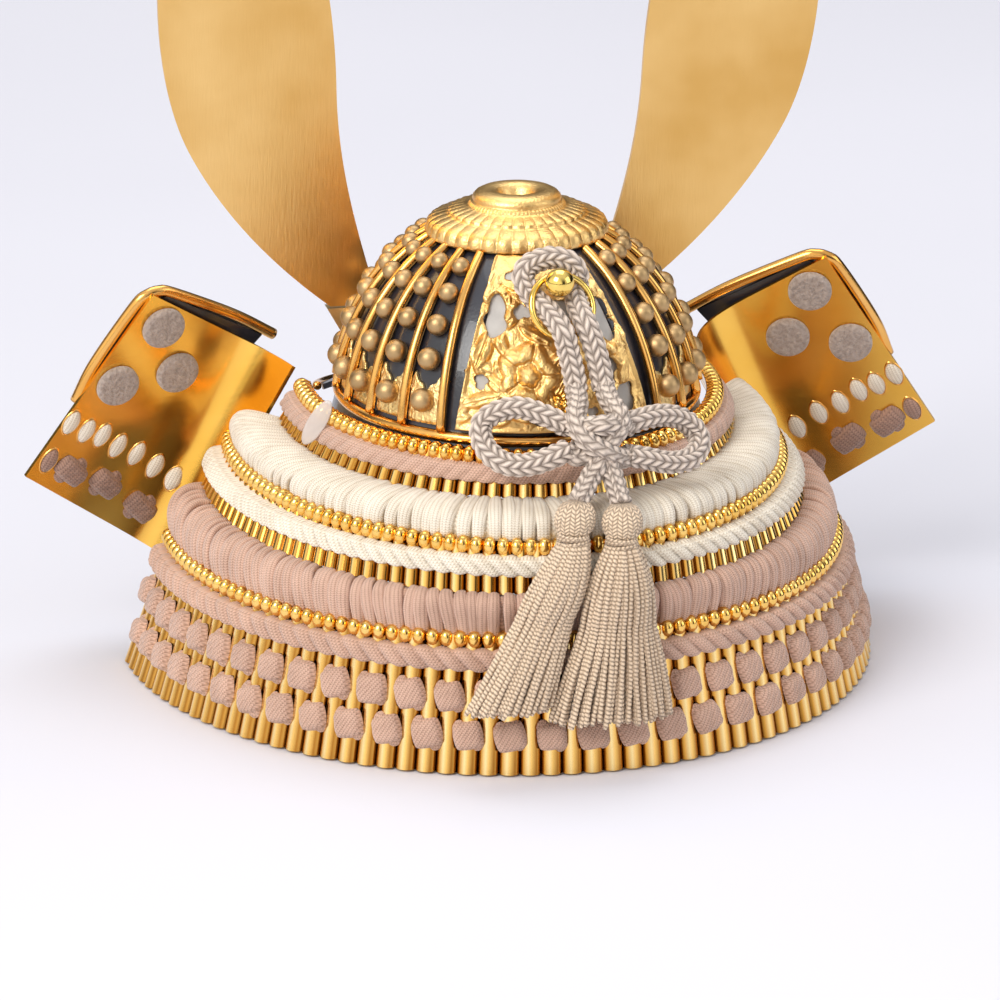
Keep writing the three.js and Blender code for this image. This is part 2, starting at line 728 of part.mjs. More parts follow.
function ringStud() {
  const [foot, ball] = [v3(...STUD_PIN.foot), v3(...STUD_PIN.ball)];
  const axis = ball.clone().sub(foot);
  const length = axis.length();
  const r = STUD_PIN.ballR;
  const profile = [[0, 0], [STUD_PIN.pin, 0], [STUD_PIN.pin, length - r * 0.95]];
  for (const degrees of [-50, -15, 20, 55]) {
    profile.push([r * Math.cos(rad(degrees)), length + r * Math.sin(rad(degrees))]);
  }
  profile.push([0, length + r]);
  const geometry = turned(profile, 8);
  geometry.applyQuaternion(new THREE.Quaternion().setFromUnitVectors(v3(0, 0, 1), axis.normalize()));
  geometry.translate(foot.x, foot.y, foot.z);
  return geometry;
}

// Routes of the braided cord, in order from one end to the other.
const HANGER_ROUTE = [
  [2.7, -37.6, 63.2],
  [2.3, -36.2, 66.8],
  [1.7, -34.8, 70.2],
  [1.0, -34.0, 73.0],
  [-0.6, -30.4, 75.6],
  [-2.6, -26.9, 77.3],
  [-3.8, -25.2, 79.2],
  [-3.9, -24.1, 81.0],
  [-2.4, -23.4, 82.5],
  [1.0, -23.2, 83.4],
  [4.2, -23.4, 82.6],
  [5.7, -23.5, 80.8],
  [5.8, -24.0, 79.0],
  [5.1, -25.9, 77.4],
  [4.8, -28.8, 76.0],
  [5.3, -32.6, 74.0],
  [6.3, -34.4, 70.8],
  [7.1, -36.0, 66.8],
  [7.5, -37.6, 63.2],
];
const LEFT_EAR_ROUTE = [
  [-0.6, -43.2, 58.9],
  [-3.8, -42.4, 60.6],
  [-8.1, -41.0, 61.9],
  [-11.9, -40.2, 61.2],
  [-14.5, -40.0, 59.2],
  [-14.9, -41.4, 56.8],
  [-13.8, -43.4, 54.7],
  [-11.1, -45.2, 53.2],
  [-7.3, -46.4, 53.3],
  [-3.6, -46.6, 54.4],
  [-0.6, -46.0, 55.4],
];
const RIGHT_EAR_ROUTE = [
  [10.2, -42.4, 57.9],
  [12.6, -41.8, 58.6],
  [17.4, -39.6, 58.6],
  [21.3, -38.0, 57.2],
  [23.9, -37.8, 54.6],
  [23.9, -40.0, 52.4],
  [21.6, -42.4, 51.2],
  [17.7, -44.2, 51.4],
  [13.4, -45.4, 52.8],
  [10.2, -45.8, 53.6],
];

// Knot: a rounded lump, given row by row as height, middle x, half width and half depth.
const KNOT_ROWS = [
  { z: 62.6, x: 5.0, wide: 3.4, deep: 1.8, y: -39.0 },
  { z: 60.8, x: 5.0, wide: 4.4, deep: 3.2, y: -41.0 },
  { z: 57.5, x: 4.8, wide: 4.8, deep: 3.8, y: -42.8 },
  { z: 54.0, x: 4.6, wide: 4.6, deep: 3.6, y: -44.6 },
  { z: 51.4, x: 4.6, wide: 3.4, deep: 2.4, y: -46.2 },
];

// Tassels: tail cord, head, tie and skirt in one form, its skirt in locks.
const LEFT_TASSEL_ROWS = [
  { z: 51.0, x: 3.2, y: -47.4, wide: 1.5, deep: 1.3, lock: 0 },
  { z: 48.6, x: 1.0, y: -50.2, wide: 1.9, deep: 1.7, lock: 0 },
  { z: 47.4, x: -0.6, y: -52.6, wide: 3.0, deep: 2.4, lock: 0 },
  { z: 44.6, x: -1.2, y: -53.8, wide: 3.3, deep: 2.8, lock: 0 },
  { z: 42.0, x: -1.7, y: -55.4, wide: 2.6, deep: 2.3, lock: 0 },
  { z: 39.6, x: -3.0, y: -57.4, wide: 3.6, deep: 3.0, lock: 0.1 },
  { z: 33.0, x: -7.6, y: -59.2, wide: 5.4, deep: 3.6, lock: 0.12 },
  { z: 24.0, x: -11.4, y: -60.2, wide: 6.6, deep: 3.7, lock: 0.14 },
  { z: 12.0, x: -15.2, y: -61.0, wide: 7.0, deep: 3.7, lock: 0.16 },
];
const RIGHT_TASSEL_ROWS = [
  { z: 51.0, x: 6.6, y: -47.4, wide: 1.5, deep: 1.3, lock: 0 },
  { z: 48.0, x: 7.2, y: -50.4, wide: 1.8, deep: 1.7, lock: 0 },
  { z: 46.4, x: 7.6, y: -53.0, wide: 3.1, deep: 2.4, lock: 0 },
  { z: 43.6, x: 7.4, y: -54.4, wide: 3.5, deep: 2.9, lock: 0 },
  { z: 41.0, x: 6.6, y: -55.8, wide: 2.8, deep: 2.4, lock: 0 },
  { z: 38.6, x: 6.2, y: -57.6, wide: 4.0, deep: 3.0, lock: 0.1 },
  { z: 31.0, x: 5.6, y: -59.6, wide: 6.4, deep: 3.7, lock: 0.12 },
  { z: 22.0, x: 5.0, y: -60.6, wide: 8.4, deep: 3.8, lock: 0.14 },
  { z: 9.0, x: 3.8, y: -61.2, wide: 10.6, deep: 3.8, lock: 0.16 },
];

function lump(rows, sides) {
  const loops = rows.map(({ z, x, y, wide, deep, lock = 0 }) => {
    const loop = [];
    for (let k = 0; k < sides; k++) {
      const a = (2 * Math.PI * k) / sides;
      const swell = 1 - (k % 2 === 1 ? lock : 0);
      loop.push(v3(x + wide * swell * Math.cos(a), y + deep * swell * Math.sin(a), z));
    }
    return loop;
  });
  return loftSolid(loops);
}

const TAB = {
  halfLong: 4.6,
  halfWide: 1.6,
  thickness: 0.4,
  place: [-40.6, -8.6, 51.2],
  turns: [-47, -24, -84],
};

// Oval tab of clear plastic pinned on the top lame, at the left; turns are about y, x and z.
function clearTab() {
  const tab = new THREE.CylinderGeometry(1, 1, TAB.thickness, 14);
  tab.deleteAttribute("uv");
  tab.deleteAttribute("normal");
  tab.scale(TAB.halfLong, 1, TAB.halfWide);
  tab.rotateX(Math.PI / 2);
  tab.rotateY(rad(TAB.turns[0]));
  tab.rotateX(rad(TAB.turns[1]));
  tab.rotateZ(rad(TAB.turns[2]));
  tab.translate(...TAB.place);
  return mergeVertices(tab, 1e-4);
}

// ---------------------------------------------------------------- assembly
addPiece("bowl_shell", studdedBowl(), LOOK.blackShell);
for (const [side, name] of [[-1, "left"], [1, "right"]]) {
  for (let k = 0; k < RIB.count; k++) {
    addPiece(`rib_${name}_${k + 1}`, rib(side * (RIB.first + k * RIB.pitch)), LOOK.gold);
  }
}
addPiece("back_plate", openworkPlate(BACK_PLATE), LOOK.castGold);
addPiece("front_plate", openworkPlate(FRONT_PLATE), LOOK.castGold);
addPiece("bowl_rim", bowlRim(), LOOK.gold);
addPiece("neck_band", neckBand(), LOOK.blackShell);
addPiece("crown", crown(), LOOK.castGold);

const { headOne, footOne, headTwo, footTwo, headThree, footThree } = RINGS;
addPiece("lame_1", lame(headOne, footOne, LAME.scalesOne, -0.16, 1.14), LOOK.brightGold);
addPiece("lame_2", lame(headTwo, footTwo, LAME.scalesTwo, -0.13, 1.18), LOOK.brightGold);
addPiece("lame_3", lame(headThree, footThree, LAME.scalesThree, -0.04, 1), LOOK.brightGold);
addPiece("braid_band_1", braidBand(headOne, footOne, 24, 0.24, 0.8), LOOK.pink);
addPiece("braid_band_2", braidBand(headTwo, footTwo, 28, 0.22, 0.8), LOOK.ivory);
addPiece("braid_band_3", braidBand(headThree, footThree, 30, 0.06, 0.235), LOOK.pink);
const knotRow = (fromDown, toDown) =>
  braidBand(headThree, footThree, LAME.scalesThree, fromDown, toDown, KNOT_SWELL);
addPiece("knot_row_upper", knotRow(0.34, 0.51), LOOK.pink);
addPiece("knot_row_lower", knotRow(0.61, 0.81), LOOK.pink);
addPiece("lacing_ivory", longLacing(headOne, footOne, headTwo, footTwo, 1.14, -0.13, 1.2), LOOK.ivory);
addPiece("lacing_pink", longLacing(headTwo, footTwo, headThree, footThree, 1.18, -0.04, 0.9), LOOK.pink);

const pairs = { wing_plate: [wingPlate(), LOOK.gold], wing_board: [wingBoard(), LOOK.blackShell] };
pairs.wing_rim = [wingRim(), LOOK.gold];
pairs.horn = [horn(), LOOK.gold];
for (const [name, place] of Object.entries(DISC.places)) {
  pairs[`felt_disc_${name}`] = [feltDisc(place), LOOK.felt];
}
for (const [name, [geometry, material]] of Object.entries(pairs)) {
  addPiece(`${name}_right`, geometry, material);
  addPiece(`${name}_left`, mirrored(geometry), material);
}
addPiece("clear_tab", clearTab(), LOOK.clear);
addPiece("visor", visor(), LOOK.blackShell);
addPiece("visor_rim", visorRim(), LOOK.gold);
addPiece("horn_base", hornBase(), LOOK.castGold);

addPiece("cord_ring", hangingRing(), LOOK.brightGold);
addPiece("ring_stud", ringStud(), LOOK.brightGold);
addPiece("hanger_cord", rod(HANGER_ROUTE, CORD.radius, CORD.sides, 26), LOOK.braid);
addPiece("bow_ear_left", rod(LEFT_EAR_ROUTE, CORD.radius, CORD.sides, 15), LOOK.braid);
addPiece("bow_ear_right", rod(RIGHT_EAR_ROUTE, CORD.radius, CORD.sides, 14), LOOK.braid);
addPiece("bow_knot", lump(KNOT_ROWS, 10), LOOK.braid);
addPiece("tassel_left", lump(LEFT_TASSEL_ROWS, 16), LOOK.silk);
addPiece("tassel_right", lump(RIGHT_TASSEL_ROWS, 16), LOOK.silk);

helmet.position.y = ORIGIN_SHIFT_Y;
export default helmet;
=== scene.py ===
"""Looks of a quarter-scale display kabuto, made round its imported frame.

Shapes are worked out in millimetres, +Z up and +Y the way the wearer faces, with the bowl's
axis at x = y = 0. surface() turns them into metres in the frame.
"""
import math

import bmesh
import bpy
import numpy as np
from mathutils import Matrix


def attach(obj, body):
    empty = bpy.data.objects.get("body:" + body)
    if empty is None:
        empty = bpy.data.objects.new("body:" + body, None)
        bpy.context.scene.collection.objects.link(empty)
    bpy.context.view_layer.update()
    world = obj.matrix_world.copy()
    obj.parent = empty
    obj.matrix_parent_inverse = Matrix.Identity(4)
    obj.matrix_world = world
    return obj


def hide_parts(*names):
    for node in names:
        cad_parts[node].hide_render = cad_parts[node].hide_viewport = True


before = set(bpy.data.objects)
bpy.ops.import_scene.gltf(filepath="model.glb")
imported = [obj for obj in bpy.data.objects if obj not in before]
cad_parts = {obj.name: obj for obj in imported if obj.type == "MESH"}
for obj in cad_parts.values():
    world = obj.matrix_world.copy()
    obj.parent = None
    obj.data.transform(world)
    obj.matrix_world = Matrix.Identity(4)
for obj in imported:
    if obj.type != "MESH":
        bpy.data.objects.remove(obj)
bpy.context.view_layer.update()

# ---------------------------------------------------------------- driving dimensions, mm
MM = 0.001
SHIFT_Y = 3.36  # from the bowl's axis to the frame's origin
BOWL = {"radius": 31.3, "stretch": 1.082, "base_z": 50.0, "rise": 36.0, "foot_z": 53.6, "wall": 1.4}
RIM = {"half_width": 31.7, "depth": 34.3, "z": 53.5, "radius": 1.0}
RIB = {"first": 37.0, "pitch": 14.3, "count": 8, "radius": 0.85, "low_z": 54.6, "high_z": 82.0}
STUD_Z = np.array([59.0, 65.7, 71.0, 75.7, 79.4])
STUD_RADIUS = np.array([2.15, 2.05, 1.95, 1.85, 1.7])
PLATE_LOW_Z = 55.3
PLATE_HIGH_Z = 82.2
RINGS = {
    "head_one": (36.0, 45.4, 8.0, 52.5, 14.0),
    "foot_one": (39.3, 49.7, 10.0, 46.3, 16.0),
    "head_two": (48.7, 63.0, 12.0, 39.6, 24.5),
    "foot_two": (52.5, 66.0, 13.5, 33.0, 23.0),
    "head_three": (59.8, 67.3, 14.0, 23.5, 19.0),
    "foot_three": (67.5, 76.0, 20.0, 0.0, 21.5),
}  # half width, depth, centre y, z, y of the two ends
LAMES = {
    1: {"head": "head_one", "foot": "foot_one", "scales": 56, "heads": 66, "top": 0.0, "low": 1.2},
    2: {"head": "head_two", "foot": "foot_two", "scales": 72, "heads": 86, "top": -0.13, "low": 1.2},
    3: {"head": "head_three", "foot": "foot_three", "scales": 62, "heads": 86, "top": -0.04, "low": 1.0},
}
LAME_WALL = 0.9
FLUTE_DEPTH = 1.45
WING = {
    "top_outer": (62.0, 21.5, 68.1),
    "top_bend": (44.5, 29.8, 56.6),
    "top_inner": (37.2, 17.0, 54.4),
    "foot_outer": (84.8, 27.4, 33.8),
    "foot_bend": (62.0, 38.7, 16.5),
    "foot_inner": (57.0, 26.0, 15.0),
}
WING_FACE = np.array([-0.23, -0.921, -0.313])  # out of the wing's back face
WING_PLATE = 0.7
WING_BOARD = 1.3
HORN = {"foot_y": 27.7, "lean": 0.1, "thickness": 1.0, "foot_z": 62.2}
RING = {"centre": (1.9, -29.3, 76.25), "radius": 5.65, "wire": 0.5, "lean": 27.0, "turn": 10.0}
STUD_PIN = {"foot": (1.4, -23.2, 79.0), "ball": (1.4, -29.5, 80.6), "pin": 0.7, "ball_radius": 2.55}
TAB = {"centre": (-37.7, -8.2, 51.4), "along": (0.5, -0.1, 0.85), "normal": (-0.5, -0.85, 0.2),
       "halves": (4.6, 1.7)}
CORD_DIAMETER = 3.9
CAMERA = {"azimuth": -11.93, "height": 16.84, "pan": -0.13, "tilt": -0.54, "roll": 0.04,
          "distance": 1300.0, "aim_z": 45.0, "lens": 262.08}
ROOM_DARK = (0.02, 0.018, 0.016)
ROOM_STRIPS = [(0.0, 0.02), (0.3, 0.04), (0.42, 0.9), (0.5, 1.0), (0.56, 0.1), (0.7, 0.06), (0.8, 1.3),
               (1.0, 1.5)]  # place round the walls, brightness

HANGER_ROUTE = [
    (2.7, -37.6, 63.2), (2.3, -36.2, 66.8), (1.7, -34.8, 70.2), (1.0, -34.0, 73.0),
    (-0.6, -30.4, 75.6), (-2.6, -26.9, 77.3), (-3.8, -25.2, 79.2), (-3.9, -24.1, 81.0),
    (-2.4, -23.4, 82.5), (1.0, -23.2, 83.4), (4.2, -23.4, 82.6), (5.7, -23.5, 80.8),
    (5.8, -24.0, 79.0), (5.1, -25.9, 77.4), (4.8, -28.8, 76.0), (5.3, -32.6, 74.0),
    (6.3, -34.4, 70.8), (7.1, -36.0, 66.8), (7.5, -37.6, 63.2),
]
LEFT_EAR_ROUTE = [
    (-0.6, -43.2, 58.9), (-3.8, -42.4, 60.6), (-8.1, -41.0, 61.9), (-11.9, -40.2, 61.2),
    (-14.5, -40.0, 59.2), (-14.9, -41.4, 56.8), (-13.8, -43.4, 54.7), (-11.1, -45.2, 53.2),
    (-7.3, -46.4, 53.3), (-3.6, -46.6, 54.4), (-0.6, -46.0, 55.4),
]
RIGHT_EAR_ROUTE = [
    (10.2, -42.4, 57.9), (12.6, -41.8, 58.6), (17.4, -39.6, 58.6), (21.3, -38.0, 57.2),
    (23.9, -37.8, 54.6), (23.9, -40.0, 52.4), (21.6, -42.4, 51.2), (17.7, -44.2, 51.4),
    (13.4, -45.4, 52.8), (10.2, -45.8, 53.6),
]
KNOT_ROUTES = {
    "left_wrap": [(2.4, -37.8, 63.6), (2.2, -40.6, 62.0), (1.0, -44.6, 60.0), (2.2, -47.2, 57.4),
                  (5.4, -47.9, 55.2), (8.6, -46.2, 53.4), (10.6, -44.4, 53.4)],
    "right_wrap": [(7.6, -37.8, 63.6), (7.8, -40.6, 62.2), (8.8, -44.2, 60.2), (7.6, -46.0, 57.6),
                   (4.4, -46.4, 55.4), (1.4, -46.2, 54.2), (-0.8, -45.6, 55.2)],
    "cross_band": [(-0.6, -43.0, 58.8), (1.8, -44.8, 58.9), (5.0, -46.8, 59.6), (8.0, -45.4, 59.0),
                   (10.4, -42.4, 58.0)],
    "left_tail": [(6.4, -45.2, 56.0), (4.8, -47.6, 53.6), (3.0, -48.4, 51.2), (1.2, -50.2, 49.0),
                  (-0.2, -51.8, 47.6)],
    "right_tail": [(3.6, -44.6, 55.8), (5.6, -47.0, 53.6), (6.6, -48.4, 51.2), (7.2, -50.4, 48.4),
                   (7.5, -52.0, 46.8)],
}


# ---------------------------------------------------------------- mesh helpers
def surface(name, points, material, weave=None, sharp=None):
    """A mesh from grids of points, in millimetres.

    points has shape (copies, rows, columns, 3). Each neighbouring four make a face, doubled
    points at seams and poles are merged, and normals are turned outwards. weave is a UV grid
    in millimetres of shape (rows, columns, 2) or (copies, rows, columns, 2).
    """
    points = np.asarray(points, float)
    if points.ndim == 3:
        points = points[None]
    copies, rows, columns, _ = points.shape
    index = np.arange(copies * rows * columns).reshape(copies, rows, columns)
    quads = np.stack([index[:, :-1, :-1], index[:, 1:, :-1], index[:, 1:, 1:], index[:, :-1, 1:]], -1)
    quads = quads.reshape(-1, 4)
    mesh = bpy.data.meshes.new(name)
    mesh.vertices.add(points.size // 3)
    mesh.vertices.foreach_set("co", ((points + (0, SHIFT_Y, 0)) * MM).ravel())
    mesh.loops.add(quads.size)
    mesh.loops.foreach_set("vertex_index", quads.ravel())
    mesh.polygons.add(len(quads))
    mesh.polygons.foreach_set("loop_start", np.arange(len(quads)) * 4)
    mesh.update(calc_edges=True)
    if weave is not None:
        layer = mesh.uv_layers.new(name="weave")
        flat = np.broadcast_to(weave, (copies, rows, columns, 2)).reshape(-1, 2)
        layer.data.foreach_set("uv", flat[quads.ravel()].ravel())
    solid = bmesh.new()
    solid.from_mesh(mesh)
    bmesh.ops.remove_doubles(solid, verts=solid.verts, dist=2e-6)
    bmesh.ops.dissolve_degenerate(solid, edges=solid.edges, dist=1e-7)
    bmesh.ops.recalc_face_normals(solid, faces=solid.faces)
    solid.to_mesh(mesh)
    solid.free()
    mesh.shade_smooth()
    if sharp:
        mesh.set_sharp_from_angle(angle=math.radians(sharp))
    piece = bpy.data.objects.new(name, mesh)
    bpy.context.scene.collection.objects.link(piece)
    mesh.materials.append(material)
    return piece


def dress(piece, look, *nodes):
    """Lets a piece ride on the helmet and stand for CAD nodes; its look is not used."""
    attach(piece, "root")
    if nodes:
        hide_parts(*nodes)
    return piece


def add(name, points, look, *nodes, weave=None, sharp=None):
    """A dressed piece made from grids of points; see surface()."""
    return dress(surface(name, points, LOOK[look], weave, sharp), look, *nodes)


def add_pair(name, points, look, node=None, weave=None, sharp=None):
    """A right piece and its mirror image on the left."""
    for side, mirror in (("right", 1), ("left", -1)):
        nodes = [f"{node}_{side}"] if node else []
        add(f"{name}_{side}", points * (mirror, 1, 1), look, *nodes, weave=weave, sharp=sharp)


def capped(loops):
    """Closed loops (copies, rows, columns, 3) with a fan to the middle added at both ends."""
    loops = loops if loops.ndim == 4 else loops[None]
    first = loops[:, :1, :-1].mean(2, keepdims=True).repeat(loops.shape[2], 2)
    last = loops[:, -1:, :-1].mean(2, keepdims=True).repeat(loops.shape[2], 2)
    return np.concatenate([first, loops, last], 1)


def wall(outer, inner):
    """A closed wall between two grids: down the outer one, back up the inner one."""
    return capped(np.concatenate([outer, inner[..., ::-1, :], outer[..., :1, :]], -2))


def unit(vectors):
    """Vectors divided by their lengths."""
    return vectors / np.maximum(np.linalg.norm(vectors, axis=-1, keepdims=True), 1e-9)


def cubic(a, b, c, d, t):
    """Point t along the cubic curve with control points a, b, c and d."""
    return (1 - t) ** 3 * a + 3 * (1 - t) ** 2 * t * b + 3 * (1 - t) * t**2 * c + t**3 * d


def smooth_route(route, step):
    """Catmull-Rom curve through a route's points, resampled every step millimetres."""
    p = np.asarray(route, float)
    p = np.concatenate([[2 * p[0] - p[1]], p, [2 * p[-1] - p[-2]]])
    t = np.linspace(0, 1, 24, endpoint=False)[:, None]
    spans = []
    for a, b, c, d in zip(p[:-3], p[1:-2], p[2:-1], p[3:]):
        spans.append(0.5 * (2 * b + (c - a) * t + (2 * a - 5 * b + 4 * c - d) * t**2
                            + (3 * b - a - 3 * c + d) * t**3))
    fine = np.concatenate(spans + [p[-2:-1]])
    along = np.concatenate([[0], np.cumsum(np.linalg.norm(np.diff(fine, axis=0), axis=1))])
    count = max(int(round(along[-1] / step)), 4)
    even = np.linspace(0, along[-1], count + 1)
    return np.stack([np.interp(even, along, fine[:, k]) for k in range(3)], 1), even


def route_frame(path):
    """Two unit directions across a path (..., n, 3), turned as little as the path allows."""
    tangent = unit(np.gradient(path, axis=-2))
    side = np.empty_like(path)
    start = np.cross(tangent[..., 0, :], (0.31, 0.2, 0.93))
    side[..., 0, :] = unit(start)
    for k in range(1, path.shape[-2]):
        last = side[..., k - 1, :]
        now = tangent[..., k, :]
        side[..., k, :] = unit(last - now * (last * now).sum(-1, keepdims=True))
    return side, np.cross(tangent, side)


def tube(path, radius, sides=13):
    """A round rod: circles of the given radius, or radii per point, across a path."""
    side, up = route_frame(path)
    angle = np.linspace(0, 2 * np.pi, sides)[:, None]
    radius = np.asarray(radius, float)
    while radius.ndim < path.ndim + 1:
        radius = radius[..., None]
    ring = np.cos(angle) * side[..., None, :] + np.sin(angle) * up[..., None, :]
    return capped(path[..., None, :] + radius * ring)


def dome(centre, normal, across, radii, profile, sides=17, square=2.0):
    """Domes on a surface: profile gives (share of radius, height); the plan is a superellipse.

    centre, normal and across are (copies, 3), radii is (2,) or (copies, 2).
    """
    other = np.cross(normal, across)
    angle = np.linspace(0, 2 * np.pi, sides)
    c, s = np.cos(angle), np.sin(angle)
    swell = (np.abs(c) ** square + np.abs(s) ** square) ** (-1 / square)
    share, height = np.asarray(profile, float).T
    radii = np.broadcast_to(radii, (len(centre), 2))
    x = radii[:, 0, None, None] * share[None, :, None] * (swell * c)[None, None, :]
    y = radii[:, 1, None, None] * share[None, :, None] * (swell * s)[None, None, :]
    lift = np.broadcast_to(height[None, :, None], x.shape)
    at = centre[:, None, None] + x[..., None] * across[:, None, None]
    return at + y[..., None] * other[:, None, None] + lift[..., None] * normal[:, None, None]


# ---------------------------------------------------------------- material helpers
def calc(tree, operation, *values):
    """A Math node on sockets or numbers, and its output."""
    node = tree.nodes.new("ShaderNodeMath")
    node.operation = operation
    for socket, value in zip(node.inputs, values):
        if isinstance(value, (int, float)):
            socket.default_value = value
        else:
            tree.links.new(value, socket)
    return node.outputs[0]


def split(tree, vector):
    """A vector's three values."""
    parts = tree.nodes.new("ShaderNodeSeparateXYZ")
    tree.links.new(vector, parts.inputs[0])
    return parts.outputs


def tone_ramp(tree, value, tones):
    """Colour looked up in (place, colour) pairs."""
    ramp = tree.nodes.new("ShaderNodeValToRGB")
    for place, colour in tones[1:-1]:
        ramp.color_ramp.elements.new(place).color = (*colour, 1)
    for end in (0, -1):
        ramp.color_ramp.elements[end].position = tones[end][0]
        ramp.color_ramp.elements[end].color = (*tones[end][1], 1)
    tree.links.new(value, ramp.inputs[0])
    return ramp.outputs[0]


def effect(name, output, **inputs):
    """An effect group with a vector and named inputs: its tree, input sockets and result socket."""
    tree = bpy.data.node_groups.new(name, "ShaderNodeTree")
    tree.interface.new_socket("Vector", in_out="INPUT", socket_type="NodeSocketVector")
    for label, value in inputs.items():
        kind = "NodeSocketFloat" if isinstance(value, float) else "NodeSocketVector"
        tree.interface.new_socket(label, in_out="INPUT", socket_type=kind).default_value = value
    tree.interface.new_socket(output, in_out="OUTPUT", socket_type="NodeSocketFloat")
    given = tree.nodes.new("NodeGroupInput")
    return tree, given.outputs, tree.nodes.new("NodeGroupOutput").inputs[output]


def mottle_effect():
    """Soft cloudy mask: three octaves of noise, spread to the full range."""
    tree, given, result = effect("mottle", "Mask", Scale=100.0)
    noise = tree.nodes.new("ShaderNodeTexNoise")
    noise.inputs["Detail"].default_value = 3
    tree.links.new(given["Vector"], noise.inputs["Vector"])
    tree.links.new(given["Scale"], noise.inputs["Scale"])
    wide = calc(tree, "MULTIPLY_ADD", noise.outputs[0], 2.2, -0.6)
    tree.links.new(calc(tree, "MINIMUM", calc(tree, "MAXIMUM", wide, 0.0), 1.0), result)
    return tree


def hairline_effect():
    """Fine lines along one axis: noise on a vector stretched by Stretch."""
    tree, given, result = effect("hairline", "Height", Stretch=(1, 1, 1))
    scale = tree.nodes.new("ShaderNodeVectorMath")
    scale.operation = "MULTIPLY"
    tree.links.new(given["Vector"], scale.inputs[0])
    tree.links.new(given["Stretch"], scale.inputs[1])
    noise = tree.nodes.new("ShaderNodeTexNoise")
    noise.inputs["Scale"].default_value = 1.0
    noise.inputs["Detail"].default_value = 4
    tree.links.new(scale.outputs[0], noise.inputs["Vector"])
    tree.links.new(noise.outputs[0], result)
    return tree


def knit_effect():
    """Columns of V stitches on a UV in millimetres: sin(along / stitch + |across|)."""
    tree, given, result = effect("knit", "Height", Column=0.55, Stitch=0.5)
    parts = split(tree, given["Vector"])
    column = calc(tree, "FRACT", calc(tree, "DIVIDE", parts[1], given["Column"]))
    away = calc(tree, "ABSOLUTE", calc(tree, "SUBTRACT", column, 0.5))
    along = calc(tree, "DIVIDE", parts[0], given["Stitch"])
    phase = calc(tree, "MULTIPLY", calc(tree, "ADD", along, away), 2 * math.pi)
    stitch = calc(tree, "MULTIPLY_ADD", calc(tree, "SINE", phase), 0.3, 0.3)
    groove = calc(tree, "MULTIPLY", calc(tree, "POWER", calc(tree, "MULTIPLY", away, 2.0), 3.0), 0.6)
    tree.links.new(calc(tree, "SUBTRACT", calc(tree, "ADD", stitch, 0.4), groove), result)
    return tree


def plait_effect():
    """Slanted ridges that change their lean from column to column of a UV in millimetres:
    |sin(pi * (along / pitch + lean * across))| inside soft column edges."""
    tree, given, result = effect("plait", "Height", Column=1.5, Pitch=1.7, Slope=0.9)
    parts = split(tree, given["Vector"])
    column = calc(tree, "DIVIDE", parts[1], given["Column"])
    away = calc(tree, "SUBTRACT", calc(tree, "FRACT", column), 0.5)
    lean = calc(tree, "PINGPONG", column, 1.0)
    along = calc(tree, "DIVIDE", parts[0], given["Pitch"])
    phase = calc(tree, "ADD", along, calc(tree, "MULTIPLY", lean, given["Slope"]))
    ridge = calc(tree, "ABSOLUTE", calc(tree, "SINE", calc(tree, "MULTIPLY", phase, math.pi)))
    edge = calc(tree, "POWER", calc(tree, "MULTIPLY", calc(tree, "ABSOLUTE", away), 2.0), 4.0)
    keep = calc(tree, "SUBTRACT", 1.0, calc(tree, "MULTIPLY", edge, 0.8))
    tree.links.new(calc(tree, "MULTIPLY", ridge, keep), result)
    return tree


EFFECTS = {"mottle": mottle_effect(), "hairline": hairline_effect(), "knit": knit_effect(),
           "plait": plait_effect()}


class Finish:
    """One material: a Principled shader, its coordinates, and effects placed in it."""

    def __init__(self, name, metallic=0.0, coat=0.0, sheen=0.0, uv=False):
        """Start from the shader's metal, coat and sheen."""
        self.material = bpy.data.materials.new(name)
        self.material.use_nodes = True
        self.tree = self.material.node_tree
        self.shader = self.tree.nodes["Principled BSDF"]
        self.shader.inputs["Metallic"].default_value = metallic
        self.shader.inputs["Coat Weight"].default_value = coat
        self.shader.inputs["Sheen Weight"].default_value = sheen
        self.place = self.tree.nodes.new("ShaderNodeTexCoord").outputs["UV" if uv else "Object"]
        self.space = self.tree.nodes.new("ShaderNodeTexCoord").outputs["Object"]

    def effect(self, name, vector, **values):
        """Place an effect group on a vector and return its output."""
        node = self.tree.nodes.new("ShaderNodeGroup")
        node.node_tree = EFFECTS[name]
        self.tree.links.new(vector, node.inputs["Vector"])
        for label, value in values.items():
            node.inputs[label].default_value = value
        return node.outputs[0]

    def colour(self, mask, dark, light):
        """Base colour between dark and light by a mask."""
        ramp = self.tree.nodes.new("ShaderNodeMix")
        ramp.data_type = "RGBA"
        ramp.inputs[6].default_value = (*dark, 1)
        ramp.inputs[7].default_value = (*light, 1)
        self.tree.links.new(mask, ramp.inputs[0])
        self.tree.links.new(ramp.outputs[2], self.shader.inputs["Base Color"])
        return self

    def roughness(self, mask, low, high):
        """Roughness between low and high by a mask."""
        value = calc(self.tree, "MULTIPLY_ADD", mask, high - low, low)
        self.tree.links.new(value, self.shader.inputs["Roughness"])
        return self

    def bump(self, height, depth):
        """Relief of a depth in millimetres, on top of any earlier one."""
        node = self.tree.nodes.new("ShaderNodeBump")
        node.inputs["Strength"].default_value = 1.0
        node.inputs["Distance"].default_value = depth * MM
        self.tree.links.new(height, node.inputs["Height"])
        if self.shader.inputs["Normal"].is_linked:
            before = self.shader.inputs["Normal"].links[0].from_socket
            self.tree.links.new(before, node.inputs["Normal"])
        self.tree.links.new(node.outputs[0], self.shader.inputs["Normal"])
        return self


